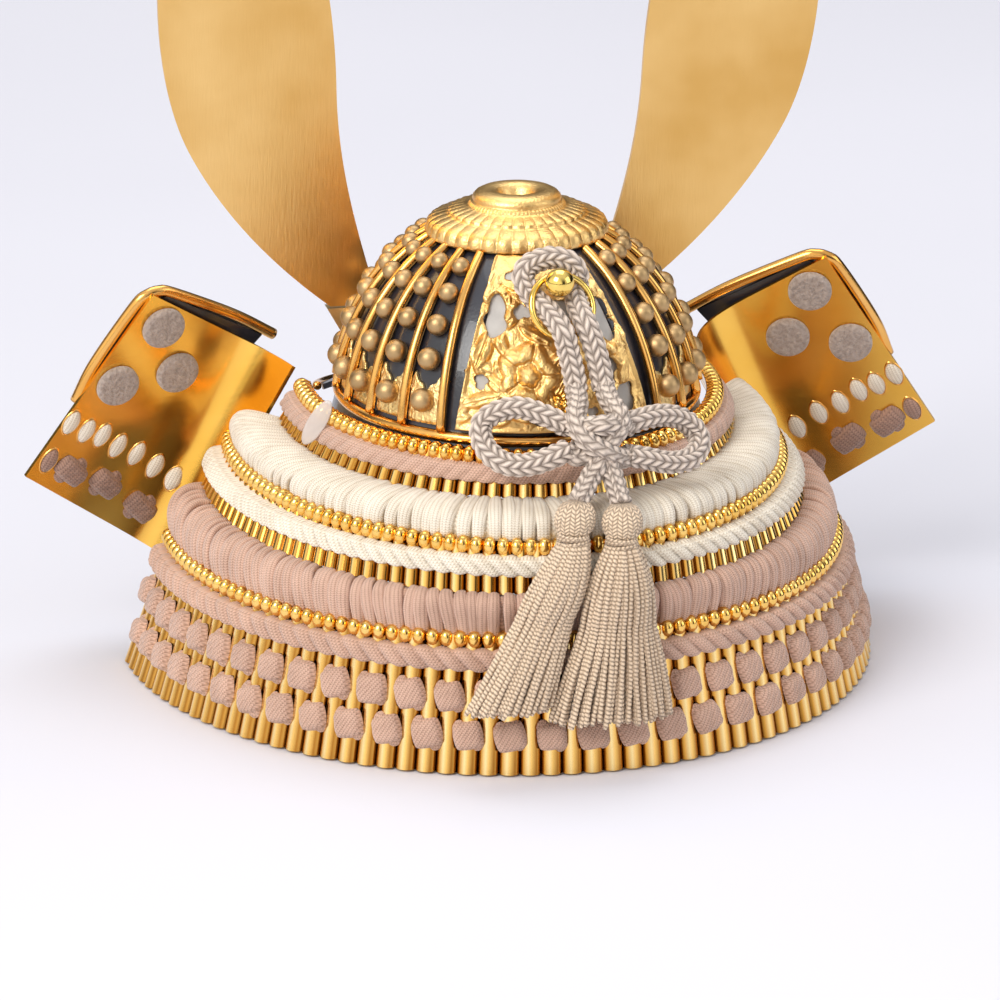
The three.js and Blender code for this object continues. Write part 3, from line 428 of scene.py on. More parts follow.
def metal(name, dark, light, rough, cloud=90.0, grain=0.0, grain_scale=2500.0):
    """Plated metal: cloudy tone and roughness, with an optional cast grain."""
    it = Finish(name, metallic=1.0)
    mask = it.effect("mottle", it.space, Scale=cloud)
    it.colour(mask, dark, light).roughness(mask, *rough)
    if grain:
        it.bump(it.effect("mottle", it.space, Scale=grain_scale), grain)
    return it


def flute_painted_light_metal(name, tones, rough):
    """Polished gold with painted light across each flute: a painted highlight near the crest, painted
    reflections beside it and painted shade in the valleys; the UV's first value counts flutes.
    """
    it = Finish(name, metallic=1.0, uv=True)
    across = calc(it.tree, "FRACT", split(it.tree, it.place)[0])
    # painted light: the base colour follows the place across the flute
    it.tree.links.new(tone_ramp(it.tree, across, tones), it.shader.inputs["Base Color"])
    return it.roughness(it.effect("mottle", it.space, Scale=120.0), *rough)


def brushed_metal(name, dark, light, rough, stretch, depth):
    """Plated sheet with hairlines along one direction."""
    it = metal(name, dark, light, rough, cloud=45.0)
    lines = it.effect("hairline", it.space, Stretch=stretch)
    it.bump(lines, depth)
    return it.roughness(lines, *rough)


def tape(name, dark, light, column, stitch, depth):
    """Flat knitted tape: V stitches in relief, with painted shade between them in the colour."""
    it = Finish(name, sheen=0.35, uv=True)
    knit = it.effect("knit", it.place, Column=column, Stitch=stitch)
    cloud = it.effect("mottle", it.space, Scale=160.0)
    # painted shade: the colour follows the stitch relief, dark in the grooves and light on the stitches,
    # over a random cloud of tone
    shade = calc(it.tree, "MULTIPLY_ADD", cloud, 0.35, calc(it.tree, "MULTIPLY", knit, 0.75))
    it.colour(shade, dark, light).roughness(cloud, 0.75, 0.95)
    return it.bump(knit, depth)


def lacquer():
    """Black lacquer with a faint blue tone under a clear coat."""
    it = Finish("black lacquer", coat=0.4)
    mask = it.effect("mottle", it.space, Scale=70.0)
    it.colour(mask, (0.010, 0.011, 0.017), (0.026, 0.027, 0.040)).roughness(mask, 0.26, 0.4)
    return it.bump(it.effect("mottle", it.space, Scale=1800.0), 0.02)


def felt():
    """Pressed wool: fine fibres as two sizes of noise."""
    it = Finish("wool felt", sheen=0.6)
    fibre = it.effect("mottle", it.space, Scale=1500.0)
    it.colour(fibre, (0.26, 0.195, 0.16), (0.46, 0.37, 0.315)).roughness(fibre, 0.9, 1.0)
    it.bump(fibre, 0.25)
    return it.bump(it.effect("mottle", it.space, Scale=420.0), 0.3)


def threads(name, dark, light, rough):
    """Spun thread: fine fibres that run along the UV's first direction."""
    it = Finish(name, sheen=0.3, uv=True)
    hair = it.effect("hairline", it.place, Stretch=(2.5, 6.25, 1.0))
    cloud = it.effect("mottle", it.space, Scale=300.0)
    shade = calc(it.tree, "MULTIPLY_ADD", cloud, 0.4, calc(it.tree, "MULTIPLY", hair, 0.7))
    it.colour(shade, dark, light).roughness(cloud, *rough)
    return it.bump(hair, 0.06)


def plaited(name, dark, light, rough, column, pitch, depth):
    """Plaited or twisted thread: slanted ridges in relief, painted shade between them in the colour, fine
    fibres.
    """
    it = Finish(name, sheen=0.25, uv=True)
    plait = it.effect("plait", it.place, Column=column, Pitch=pitch, Slope=0.9)
    hair = it.effect("hairline", it.place, Stretch=(5.0, 9.0, 1.0))
    # painted shade: the colour follows the ridges, dark between them, over the fibres' own random tone
    shade = calc(it.tree, "MULTIPLY_ADD", hair, 0.5, calc(it.tree, "MULTIPLY", plait, 0.75))
    it.colour(calc(it.tree, "SUBTRACT", shade, 0.08), dark, light).roughness(hair, *rough)
    it.bump(hair, 0.05)
    return it.bump(plait, depth)


def frosted():
    """Frosted clear plastic."""
    it = Finish("frosted plastic", coat=0.3)
    mask = it.effect("mottle", it.space, Scale=200.0)
    it.colour(mask, (0.62, 0.55, 0.50), (0.78, 0.71, 0.66)).roughness(mask, 0.3, 0.45)
    it.shader.inputs["Alpha"].default_value = 0.6
    return it


# Painted light on the lames' flutes: dark valleys are painted shade, the bright band is a painted
# highlight, and the deeper amber streaks are painted reflections.
FLUTE_PAINTED_LIGHT = [
    (0.0, (0.07, 0.022, 0.003)), (0.16, (0.72, 0.36, 0.06)), (0.38, (1.0, 0.78, 0.36)),
    (0.52, (1.0, 0.62, 0.17)), (0.76, (0.46, 0.20, 0.03)), (0.88, (0.70, 0.36, 0.07)),
    (1.0, (0.07, 0.022, 0.003)),
]  # share across a flute, colour: painted highlight, painted reflections and painted shade in the valleys
FINISHES = {
    "lacquer": lacquer(),
    "rod_gold": metal("rod gold", (0.80, 0.40, 0.09), (0.93, 0.54, 0.17), (0.16, 0.26)),
    "bright_gold": metal("bright gold", (0.86, 0.50, 0.10), (1.0, 0.68, 0.22), (0.07, 0.14)),
    # lame gold with painted highlights, painted reflections and painted shade in the flute valleys
    "flute_gold_painted_light": flute_painted_light_metal("fluted gold painted light", FLUTE_PAINTED_LIGHT, (0.12, 0.2)),
    "ball_gold": metal("ball gold", (0.94, 0.64, 0.14), (1.0, 0.74, 0.22), (0.08, 0.14)),
    "wing_gold": brushed_metal("wing gold", (0.88, 0.47, 0.06), (0.99, 0.60, 0.13), (0.16, 0.26),
                               (60, 60, 900), 0.012),
    "horn_gold": brushed_metal("brushed gold", (0.74, 0.43, 0.12), (0.93, 0.62, 0.24), (0.27, 0.4),
                               (2600, 2600, 90), 0.03),
    "cast_gold": metal("cast gold", (0.76, 0.45, 0.14), (0.97, 0.68, 0.29), (0.27, 0.4),
                       grain=0.05),
    "base_gold": metal("hammered gold", (0.80, 0.54, 0.2), (0.96, 0.74, 0.36), (0.3, 0.46),
                       grain=0.16, grain_scale=1400.0),
    "stud_gold": metal("matt gold", (0.43, 0.28, 0.13), (0.58, 0.40, 0.20), (0.4, 0.5),
                       grain=0.02, grain_scale=1500.0),
    "ivory": tape("ivory tape", (0.50, 0.40, 0.28), (0.93, 0.86, 0.74), 0.6, 0.42, 0.09),
    "pink": tape("pink tape", (0.30, 0.165, 0.11), (0.72, 0.465, 0.35), 0.6, 0.42, 0.1),
    # the pink tape darkened, a shaded copy: painted shade on the wings' knots and end eye
    "pink_painted_shade": tape("mauve tape", (0.15, 0.08, 0.055), (0.42, 0.25, 0.185), 0.7, 0.5, 0.1),
    "felt": felt(),
    "braid": plaited("silver braid", (0.10, 0.058, 0.036), (0.82, 0.69, 0.585), (0.4, 0.6), 1.53, 1.7,
                     0.25),
    "silk": plaited("beige silk", (0.13, 0.068, 0.03), (0.93, 0.72, 0.51), (0.3, 0.45), 0.8, 0.72,
                    0.16),
    "lining": threads("pale lining", (0.30, 0.28, 0.26), (0.62, 0.60, 0.57), (0.6, 0.8)),
    "frosted": frosted(),
}
LOOK = {name: finish.material for name, finish in FINISHES.items()}


# ---------------------------------------------------------------- camera, light and floor
def swung(first, second, degrees):
    """Two upright vectors turned together in their plane, the first towards the second."""
    cos, sin = math.cos(math.radians(degrees)), math.sin(math.radians(degrees))
    return first * cos + second * sin, second * cos - first * sin


def looking(right, up, ahead, place):
    """Matrix of a camera or lamp at a place, from its three directions."""
    return Matrix([[right[k], up[k], -ahead[k], place[k]] for k in range(3)] + [[0, 0, 0, 1]])


def axis_camera():
    """Camera behind the helmet and a little above, with a long lens."""
    azimuth, height = math.radians(CAMERA["azimuth"]), math.radians(CAMERA["height"])
    back = np.array([math.sin(azimuth) * math.cos(height), -math.cos(azimuth) * math.cos(height),
                     math.sin(height)])
    centre = (np.array([0, SHIFT_Y, CAMERA["aim_z"]]) + back * CAMERA["distance"]) * MM
    ahead = -back
    right = unit(np.cross(ahead, (0, 0, 1)))
    up = np.cross(right, ahead)
    ahead, right = swung(ahead, right, CAMERA["pan"])
    ahead, up = swung(ahead, up, CAMERA["tilt"])
    right, up = swung(right, up, CAMERA["roll"])
    data = bpy.data.cameras.new("camera")
    data.sensor_width = 36.0
    data.lens = CAMERA["lens"]
    data.clip_end = 20.0
    camera = bpy.data.objects.new("camera", data)
    camera.matrix_world = looking(right, up, ahead, centre)
    bpy.context.scene.collection.objects.link(camera)
    bpy.context.scene.camera = camera


def soft_light(name, place, size, power, colour=(1, 1, 1)):
    """A square soft box that faces the helmet; metres and watts."""
    data = bpy.data.lights.new(name, "AREA")
    data.size = size
    data.energy = power
    data.color = colour
    lamp = bpy.data.objects.new(name, data)
    ahead = unit(np.array((0, 0, 0.05)) - place)
    side = unit(np.cross(ahead, (0, 0, 1)))
    lamp.matrix_world = looking(side, np.cross(side, ahead), ahead, place)
    bpy.context.scene.collection.objects.link(lamp)


def floor():
    """Pale floor, just under the helmet's foot."""
    it = Finish("pale floor")
    mask = it.effect("mottle", it.space, Scale=3.0)
    it.colour(mask, (0.70, 0.70, 0.765), (0.73, 0.73, 0.795)).roughness(mask, 0.6, 0.7)
    half = np.array([-2500.0, 2500.0])
    x, y = np.meshgrid(half, half, indexing="ij")
    surface("floor", np.stack([x, y, np.full((2, 2), -0.4)], -1)[None], it.material)


def mixed(tree, blend, share, first, second):
    """Two colours mixed; each may be a socket or a colour."""
    node = tree.nodes.new("ShaderNodeMix")
    node.data_type = "RGBA"
    node.blend_type = blend
    for socket, value in zip((node.inputs[0], node.inputs[6], node.inputs[7]), (share, first, second)):
        if isinstance(value, (float, tuple)):
            socket.default_value = value
        else:
            tree.links.new(value, socket)
    return node.outputs[2]


def room():
    """Surroundings that only reflect: dark below, grey and bright strips at the sides, and
    brighter overhead."""
    world = bpy.data.worlds.new("room")
    bpy.context.scene.world = world
    world.use_nodes = True
    tree = world.node_tree
    parts = split(tree, tree.nodes.new("ShaderNodeTexCoord").outputs["Generated"])
    overhead = tone_ramp(tree, parts[2], [(0.3, (0.0, 0.0, 0.0)), (0.85, (1.0, 1.0, 1.04))])
    across = calc(tree, "MULTIPLY_ADD", parts[0], -0.8, calc(tree, "MULTIPLY", parts[1], -0.6))
    strips = [(place, (value, value * 0.97, value * 0.93)) for place, value in ROOM_STRIPS]
    strips[0] = (0.0, ROOM_DARK)
    strips[-1] = (1.0, (1.5, 1.47, 1.42))
    sides = tone_ramp(tree, calc(tree, "MULTIPLY_ADD", across, 0.5, 0.5), strips)
    above = calc(tree, "GREATER_THAN", parts[2], 0.02)
    walls = mixed(tree, "MIX", above, (*ROOM_DARK, 1), sides)
    both = mixed(tree, "SCREEN", 1.0, walls, overhead)
    tree.links.new(both, tree.nodes["Background"].inputs["Color"])
    tree.nodes["Background"].inputs["Strength"].default_value = 0.8


def studio():
    """Floor, room and three soft boxes."""
    floor()
    room()
    soft_light("key", (-0.85, -0.75, 0.95), 0.7, 13, (1.0, 0.975, 0.94))
    soft_light("fill", (1.1, -0.5, 0.55), 0.8, 3.5, (0.97, 0.98, 1.0))
    soft_light("top", (0.1, 0.35, 1.2), 0.9, 5)
    bpy.context.scene.view_settings.view_transform = "Standard"


axis_camera()
studio()


# ---------------------------------------------------------------- cords, first
def braid_relief(angle, along, columns=8, pitch=1.7, slope=0.9):
    """Round plait in eight columns whose ridges lean one way and the other in turn."""
    column = angle / (2 * np.pi) * columns
    away = np.abs(column - np.floor(column) - 0.5) * 2
    lean = np.abs((column + 1) % 2 - 1)
    ridge = np.abs(np.sin(np.pi * (along / pitch + slope * lean)))
    return ridge**0.7 * (1 - 0.75 * away**4)


def braided(routes, diameter, step=0.17, sides=41, relief=0.55):
    """Round braid along routes, and its weave UV: radius plus plait relief, thinner ends."""
    copies, weaves = [], []
    for route in routes:
        path, along = smooth_route(route, step)
        side, up = route_frame(path)
        angle = np.linspace(0, 2 * np.pi, sides)
        bumps = braid_relief(angle[None, :], along[:, None])
        radius = diameter / 2 - relief * 0.72 + relief * bumps
        ring = np.cos(angle)[None, :, None] * side[:, None] + np.sin(angle)[None, :, None] * up[:, None]
        copies.append(capped(path[:, None] + radius[..., None] * ring)[0])
        rows = np.concatenate([along[:1], along, along[-1:]])
        weaves.append(np.stack(np.broadcast_arrays(rows[:, None], angle[None] * diameter / 2), -1))
    return copies, weaves


def joined(name, copies, weaves, look, *nodes):
    """One dressed piece of several grids with different row counts."""
    parts = [surface(f"{name}_part_{k}", c, LOOK[look], w) for k, (c, w) in enumerate(zip(copies, weaves))]
    piece = parts[0]
    if len(parts) > 1:
        with bpy.context.temp_override(active_object=piece, selected_editable_objects=parts):
            bpy.ops.object.join()
    piece.name = name
    return dress(piece, look, *nodes)


def twisted_strands(paths, radius, turn, sides=11):
    """Two-ply threads: an oval section that turns once every `turn` mm of its path."""
    side, up = route_frame(paths)
    along = np.cumsum(np.linalg.norm(np.diff(paths, axis=1, prepend=paths[:, :1]), axis=-1), axis=1)
    angle = np.linspace(0, 2 * np.pi, sides)
    spin = angle + 0 * along[..., None]
    ply = 1 + 0.16 * np.cos(2 * (angle - np.pi * along[..., None] / turn))
    size = radius[:, :, None] * ply
    ring = np.cos(spin)[..., None] * side[..., None, :] + np.sin(spin)[..., None] * up[..., None, :]
    points = capped(paths[..., None, :] + size[..., None] * ring)
    rows = np.concatenate([along[:, :1], along, along[:, -1:]], 1)
    across = 0.8 * angle / (2 * np.pi)
    weave = np.stack(np.broadcast_arrays(rows[..., None], across + 0 * rows[..., None]), -1)
    return points, weave


TASSELS = {
    "left": {"neck": (-1.8, -55.6, 42.0), "foot": (-14.4, -59.6, 12.6), "reach": (7.6, 2.9), "seed": 3},
    "right": {"neck": (6.6, -56.0, 41.0), "foot": (4.0, -59.8, 9.8), "reach": (11.0, 3.0), "seed": 8},
}


def tassel_skirt(neck, foot, reach, seed, count=112):
    """Threads that leave the neck in a small oval and spread to a wide one at the foot.

    Each follows neck + t * (foot - neck) plus its own place in the oval, which grows with
    t ** 0.85; a slow wave and a length of its own keep the threads apart.
    """
    rng = np.random.default_rng(seed)
    turn = np.arange(count) * 2.399963
    share = ((np.arange(count) + 0.5) / count) ** 0.38
    place = np.stack([share * np.cos(turn), share * np.sin(turn)], 1)
    t = np.linspace(0, 1, 52)[None, :, None]
    length = 1 - 0.045 * rng.random((count, 1, 1))
    t = t * length
    neck, foot = np.array(neck), np.array(foot)
    grow = np.array([2.1, 1.8]) + (np.array(reach) - (2.1, 1.8)) * np.clip(t, 0, 1) ** 0.85
    spread = place[:, None] * grow
    drift = 0.2 * np.sin(2 * np.pi * (t * rng.uniform(0.6, 1.6, (count, 1, 1)) + rng.random((count, 1, 1))))
    shoulder = np.sin(np.pi * np.clip(t * 2.2, 0, 1)) * 0.9
    middle = neck + (foot - neck) * np.concatenate([t**1.05, t**0.62, t], -1)
    middle[..., 0] += spread[..., 0] + drift[..., 0] + shoulder[..., 0] * place[:, None, 0]
    middle[..., 1] += spread[..., 1] - shoulder[..., 0] * (0.5 - place[:, None, 1])
    radius = np.full((count, middle.shape[1]), 0.5)
    radius[:, -2:] *= (0.95, 0.6)
    return twisted_strands(middle, radius, 1.44, sides=8)


def tassel_head(neck, top, wide=3.35, deep=2.9):
    """Wrapped head: an egg round the axis from neck to top, with slanted thread ridges."""
    neck, top = np.array(neck), np.array(top)
    t = np.linspace(0, 1, 40)
    angle = np.linspace(0, 2 * np.pi, 145)
    body = np.sqrt(np.clip(1 - (2 * t - 1.0) ** 2 * 0.93, 0, 1)) ** 0.75
    ridge = np.abs(np.sin(11 * angle[None] + 5.0 * t[:, None])) ** 0.7
    size = body[:, None] * (1 + 0.085 * ridge)
    centre = neck + (top - neck) * t[:, None]
    points = np.stack([centre[:, :1] + wide * size * np.cos(angle),
                       centre[:, 1:2] + deep * size * np.sin(angle),
                       centre[:, 2:] + 0 * size], -1)
    weave = np.stack(np.broadcast_arrays(t[:, None] * 7, angle[None] * 3), -1)
    return capped(points)[0], np.concatenate([weave[:1], weave, weave[-1:]])


def tie_rings(neck):
    """Four turns of thread round a tassel's neck."""
    rings, weaves = [], []
    for k in range(4):
        angle = np.linspace(0, 2 * np.pi, 60)
        wave = 0.25 * np.sin(angle + 1.7 * k)
        path = np.stack([neck[0] + (2.75 - 0.1 * k) * np.cos(angle),
                         neck[1] + (2.35 - 0.1 * k) * np.sin(angle),
                         neck[2] - 0.7 + 0.55 * k + wave], -1)
        points, weave = twisted_strands(path[None], np.full((1, 60), 0.34), 1.0)
        rings.append(points[0])
        weaves.append(weave[0])
    return rings, weaves


def tassel(side):
    """Skirt, head and tie of one tassel, as one piece."""
    sizes = TASSELS[side]
    points, weave = tassel_skirt(**sizes)
    neck = np.array(sizes["neck"])
    top = neck + ((1.3, 3.6, 6.0) if side == "left" else (0.9, 3.2, 6.2))
    head, head_weave = tassel_head(neck + (0.2, 0.4, 0.4), top)
    rings, ring_weaves = tie_rings(neck)
    return joined(f"tassel_{side}_silk", [*points, head, *rings], [*weave, head_weave, *ring_weaves],
                  "silk", f"tassel_{side}")


def cord_set():
    """Cord over the stud, the two ears of its bow, the knot and the tassels."""
    grids = braided(KNOT_ROUTES.values(), CORD_DIAMETER * 0.93)
    knot = joined("bow_knot_braid", *grids, "braid", "bow_knot")
    tassels = {side: tassel(side) for side in TASSELS}
    cords = {
        "hanger": (HANGER_ROUTE, "hanger_cord", [knot]),
        "left_ear": (LEFT_EAR_ROUTE, "bow_ear_left", [tassels["left"]]),
        "right_ear": (RIGHT_EAR_ROUTE, "bow_ear_right", [tassels["right"]]),
    }
    for name, (route, node, on_it) in cords.items():
        piece = joined(f"{name}_braid", *braided([route], CORD_DIAMETER), "braid", node)


cord_set()


# ---------------------------------------------------------------- bowl
def bowl_radius(z):
    """Half width of the bowl at a height: an ellipse in section."""
    return BOWL["radius"] * np.sqrt(np.clip(1 - ((z - BOWL["base_z"]) / BOWL["rise"]) ** 2, 0, 1))


def over_bowl(degrees, z, out=0.0):
    """Points over the bowl, by degrees from the middle of the back towards +X."""
    angle = np.radians(degrees)
    r = bowl_radius(z) + out
    x, y = r * np.sin(angle), -BOWL["stretch"] * r * np.cos(angle)
    return np.stack(np.broadcast_arrays(x, y, z + 0 * r), -1)


def bowl_normal(point):
    """Outward unit normal of the bowl's ellipsoid."""
    a, b, c = BOWL["radius"], BOWL["radius"] * BOWL["stretch"], BOWL["rise"]
    return unit((point - (0, 0, BOWL["base_z"])) / np.array([a * a, b * b, c * c]))


def turned(profile, segments=150):
    """A closed (radius, z) profile turned about the upright axis, stretched to the bowl's oval."""
    r, z = np.asarray(profile, float).T
    angle = np.linspace(0, 2 * np.pi, segments + 1)[:, None]
    x, y = r * np.sin(angle), -BOWL["stretch"] * r * np.cos(angle)
    return np.stack(np.broadcast_arrays(x, y, z + 0 * angle), -1)


def bowl_shell():
    """Hollow shell: the outer ellipse up to the crown, and back down one wall inside it."""
    z = np.linspace(BOWL["foot_z"], 82.5, 30)
    outer = list(zip(bowl_radius(z), z)) + [(9.0, 83.5), (1.5, 84.2)]
    inner = [(1.5, 82.6), (8.2, 81.9)] + list(zip(bowl_radius(z[::-1]) - BOWL["wall"], z[::-1] - 1))
    inner[-1] = (inner[-1][0], BOWL["foot_z"])
    loop = outer + inner + outer[:1]
    add("bowl_lacquer", turned(loop), "lacquer", "bowl_shell", sharp=40)


def stud_columns():
    """Angles of the stud columns, between neighbouring ribs on both sides."""
    steps = RIB["first"] + (np.arange(RIB["count"] - 1) + 0.5) * RIB["pitch"]
    return np.concatenate([-steps[::-1], steps])


def studs():
    """Ball-headed studs: a circle of 128 degrees on each side of the tip, then a short neck."""
    columns, rows = np.meshgrid(stud_columns(), np.arange(len(STUD_Z)), indexing="ij")
    foot = over_bowl(columns.ravel(), STUD_Z[rows.ravel()])
    normal = bowl_normal(foot)
    across = unit(np.cross((0, 0, 1), normal))
    turn = np.radians(np.linspace(1, 128, 11))
    profile = [(np.sin(a), 0.55 + np.cos(a)) for a in turn] + [(0.55, -0.3)]
    points = []
    for row, radius in enumerate(STUD_RADIUS):
        chosen = rows.ravel() == row
        size = [(share, height * radius) for share, height in profile]
        points.append(dome(foot[chosen], normal[chosen], across[chosen], (radius, radius), size))
    add("bowl_studs", capped(np.concatenate(points)), "stud_gold")


def ribs():
    """Round rods that follow the bowl between the stud columns, one piece each."""
    z = np.linspace(0, 1, 40)
    z = RIB["low_z"] + (RIB["high_z"] - RIB["low_z"]) * (1 - (1 - z) ** 1.5)
    for side, name in ((-1, "left"), (1, "right")):
        for k in range(RIB["count"]):
            path = over_bowl(side * (RIB["first"] + k * RIB["pitch"]), z, RIB["radius"] + 0.35)
            add(f"rib_rod_{name}_{k + 1}", tube(path, RIB["radius"]), "rod_gold", f"rib_{name}_{k + 1}")


def base_plates():
    """Hammered plates at the columns' feet: a dip in the middle between two pointed corners."""
    across = np.linspace(-1, 1, 31)
    top = 61.0 + 3.4 * np.abs(across) ** 1.7 - 0.55 * np.cos(3 * np.pi * across) * (1 - np.abs(across))
    top = top - 2.2 * np.clip(np.abs(across) - 0.86, 0, 1) / 0.14
    down = np.linspace(0, 1, 12)[None, :]
    z = top[:, None] * (1 - down) + 55.2 * down
    half = 0.5 * RIB["pitch"] - np.degrees(RIB["radius"] * 0.8) / bowl_radius(60.0)
    degrees = stud_columns()[:, None, None] + half * across[None, :, None]
    rng = np.random.default_rng(5)
    dents = 0.09 * rng.standard_normal((len(degrees), 31, 12))
    rim = 0.2 * np.exp(-(((z - top[:, None]) / 0.5) ** 2))
    outer = over_bowl(degrees, z[None], 0.5 + dents * 0.6 + rim)
    inner = over_bowl(degrees, z[None], 0.05)
    add("base_plates", wall(outer, inner), "base_gold")


# ---------------------------------------------------------------- openwork plates
BLOSSOMS = [
    {"x": -4.4, "z": 65.0, "radius": 5.4, "petals": 5, "high": 2.3},
    {"x": -9.6, "z": 77.0, "radius": 3.8, "petals": 7, "high": 1.4},
    {"x": 10.4, "z": 68.0, "radius": 3.2, "petals": 6, "high": 1.5},
    {"x": 10.2, "z": 76.4, "radius": 2.2, "petals": 5, "high": 0.9},
]
BIG_LEAVES = [
    (-11.6, 68.6, 3.6, 1.5, 62), (-8.6, 70.4, 3.2, 1.3, 108), (-12.6, 60.6, 4.0, 1.3, 18),
    (-7.4, 58.6, 3.4, 1.1, -24), (-2.4, 58.4, 2.8, 1.1, 78), (1.4, 59.0, 2.6, 1.0, 128),
    (-1.2, 60.6, 3.0, 1.2, 100), (4.6, 63.4, 3.4, 1.3, 64), (-6.4, 73.6, 3.0, 1.2, 40),
    (-2.6, 71.0, 3.0, 1.0, 150), (6.2, 70.6, 3.2, 1.2, 112), (12.4, 63.6, 3.4, 1.2, 84),
    (8.6, 61.2, 3.0, 1.1, 32), (13.4, 70.4, 2.8, 1.0, 96), (4.2, 76.6, 3.0, 1.1, 24),
    (-4.4, 78.4, 2.8, 1.0, -12), (7.8, 80.0, 2.4, 0.9, 8), (-13.6, 73.0, 2.6, 1.0, 84),
    (0.2, 66.6, 2.6, 1.2, 46), (-9.6, 62.8, 2.8, 1.1, -42), (12.8, 58.2, 2.8, 1.0, -28),
]  # x, z, half length, half width, degrees
PLATE_HOLES = [
    (-21.4, 73.6, 1.7, 3.2), (-24.7, 63.6, 1.1, 1.3), (-14.5, 79.6, 1.3, 0.7), (22.6, 72.4, 1.8, 3.4),
    (19.5, 64.8, 1.5, 2.1), (24.4, 60.0, 1.7, 2.4), (21.5, 79.0, 1.2, 1.0), (4.5, 74.4, 2.6, 1.6),
    (-10.5, 74.6, 1.6, 1.0), (-6.0, 56.9, 1.0, 0.5), (12.0, 58.0, 1.0, 0.9),
]  # degrees, z, half width, half height


def leaf(x, z, at_x, at_z, half_length, half_width, degrees):
    """Pointed leaf: height falls to nothing at half_width * (1 - t^2)^0.8, with a sunk midrib."""
    c, s = math.cos(math.radians(degrees)), math.sin(math.radians(degrees))
    along = ((x - at_x) * c + (z - at_z) * s) / half_length
    across = (z - at_z) * c - (x - at_x) * s
    width = half_width * np.clip(1 - along**2, 1e-3, None) ** 0.8
    edge = np.clip(1 - (across / width) ** 2, 0, None) * (np.abs(along) < 1)
    rib = 0.3 * np.exp(-((across / 0.16) ** 2))
    veins = 0.07 * np.cos(9 * along + 2.4 * np.abs(across))
    return np.sqrt(edge) * (0.85 - rib + veins + 0.25 * along)


def blossom(x, z, flower):
    """Petals round a dimpled centre: radius swells with cos(petals * angle), edges curl up."""
    dx, dz = x - flower["x"], z - flower["z"]
    r, angle = np.hypot(dx, dz), np.arctan2(dz, dx)
    edge = flower["radius"] * (0.80 + 0.20 * np.abs(np.cos(flower["petals"] * angle / 2)))
    share = np.clip(r / edge, 0, 1)
    petal = (0.45 + 0.55 * share) * np.clip(1 - share**6, 0, None) ** 0.5
    groove = 0.35 * np.exp(-((np.sin(flower["petals"] * angle / 2) / 0.18) ** 2)) * share
    inner = 0.75 * np.exp(-((share / 0.28) ** 2)) - 0.3 * np.exp(-(((share - 0.4) / 0.1) ** 2))
    return flower["high"] * (petal - groove + inner) * (r < edge)


def foliage(x, z, seed):
    """Height of the cast work: the highest of blossoms, large leaves and many small ones."""
    rng = np.random.default_rng(seed)
    height = 0.16 + 0.1 * np.sin(1.9 * x + 1.3 * np.sin(z)) * np.cos(1.6 * z + np.sin(1.4 * x))
    for _ in range(44):
        at_x, at_z = rng.uniform(-17.5, 17.5), rng.uniform(55.5, 82.0)
        small = leaf(x, z, at_x, at_z, rng.uniform(2.0, 3.4), rng.uniform(0.8, 1.3), rng.uniform(0, 180))
        height = np.maximum(height, 0.95 * small)
    for values in BIG_LEAVES:
        height = np.maximum(height, 1.6 * leaf(x, z, *values))
    for flower in BLOSSOMS:
        height = np.maximum(height, blossom(x, z, flower))
    return height


def hole_field(degrees, z):
    """Signed distance-like field: below zero inside a hole, whose outline wavers a little."""
    field = np.full(np.broadcast(degrees, z).shape, 9.0)
    for at, at_z, half_width, half_height in PLATE_HOLES:
        dx = (degrees - at) * math.radians(1) * bowl_radius(at_z)
        dz = z - at_z
        turn = np.arctan2(dz, dx)
        waver = 1 + 0.13 * np.sin(3 * turn + at) + 0.08 * np.sin(5 * turn + at_z)
        r = np.sqrt((dx / half_width) ** 2 + (dz / half_height) ** 2)
        field = np.minimum(field, (r / waver - 1) * min(half_width, half_height))
    return field


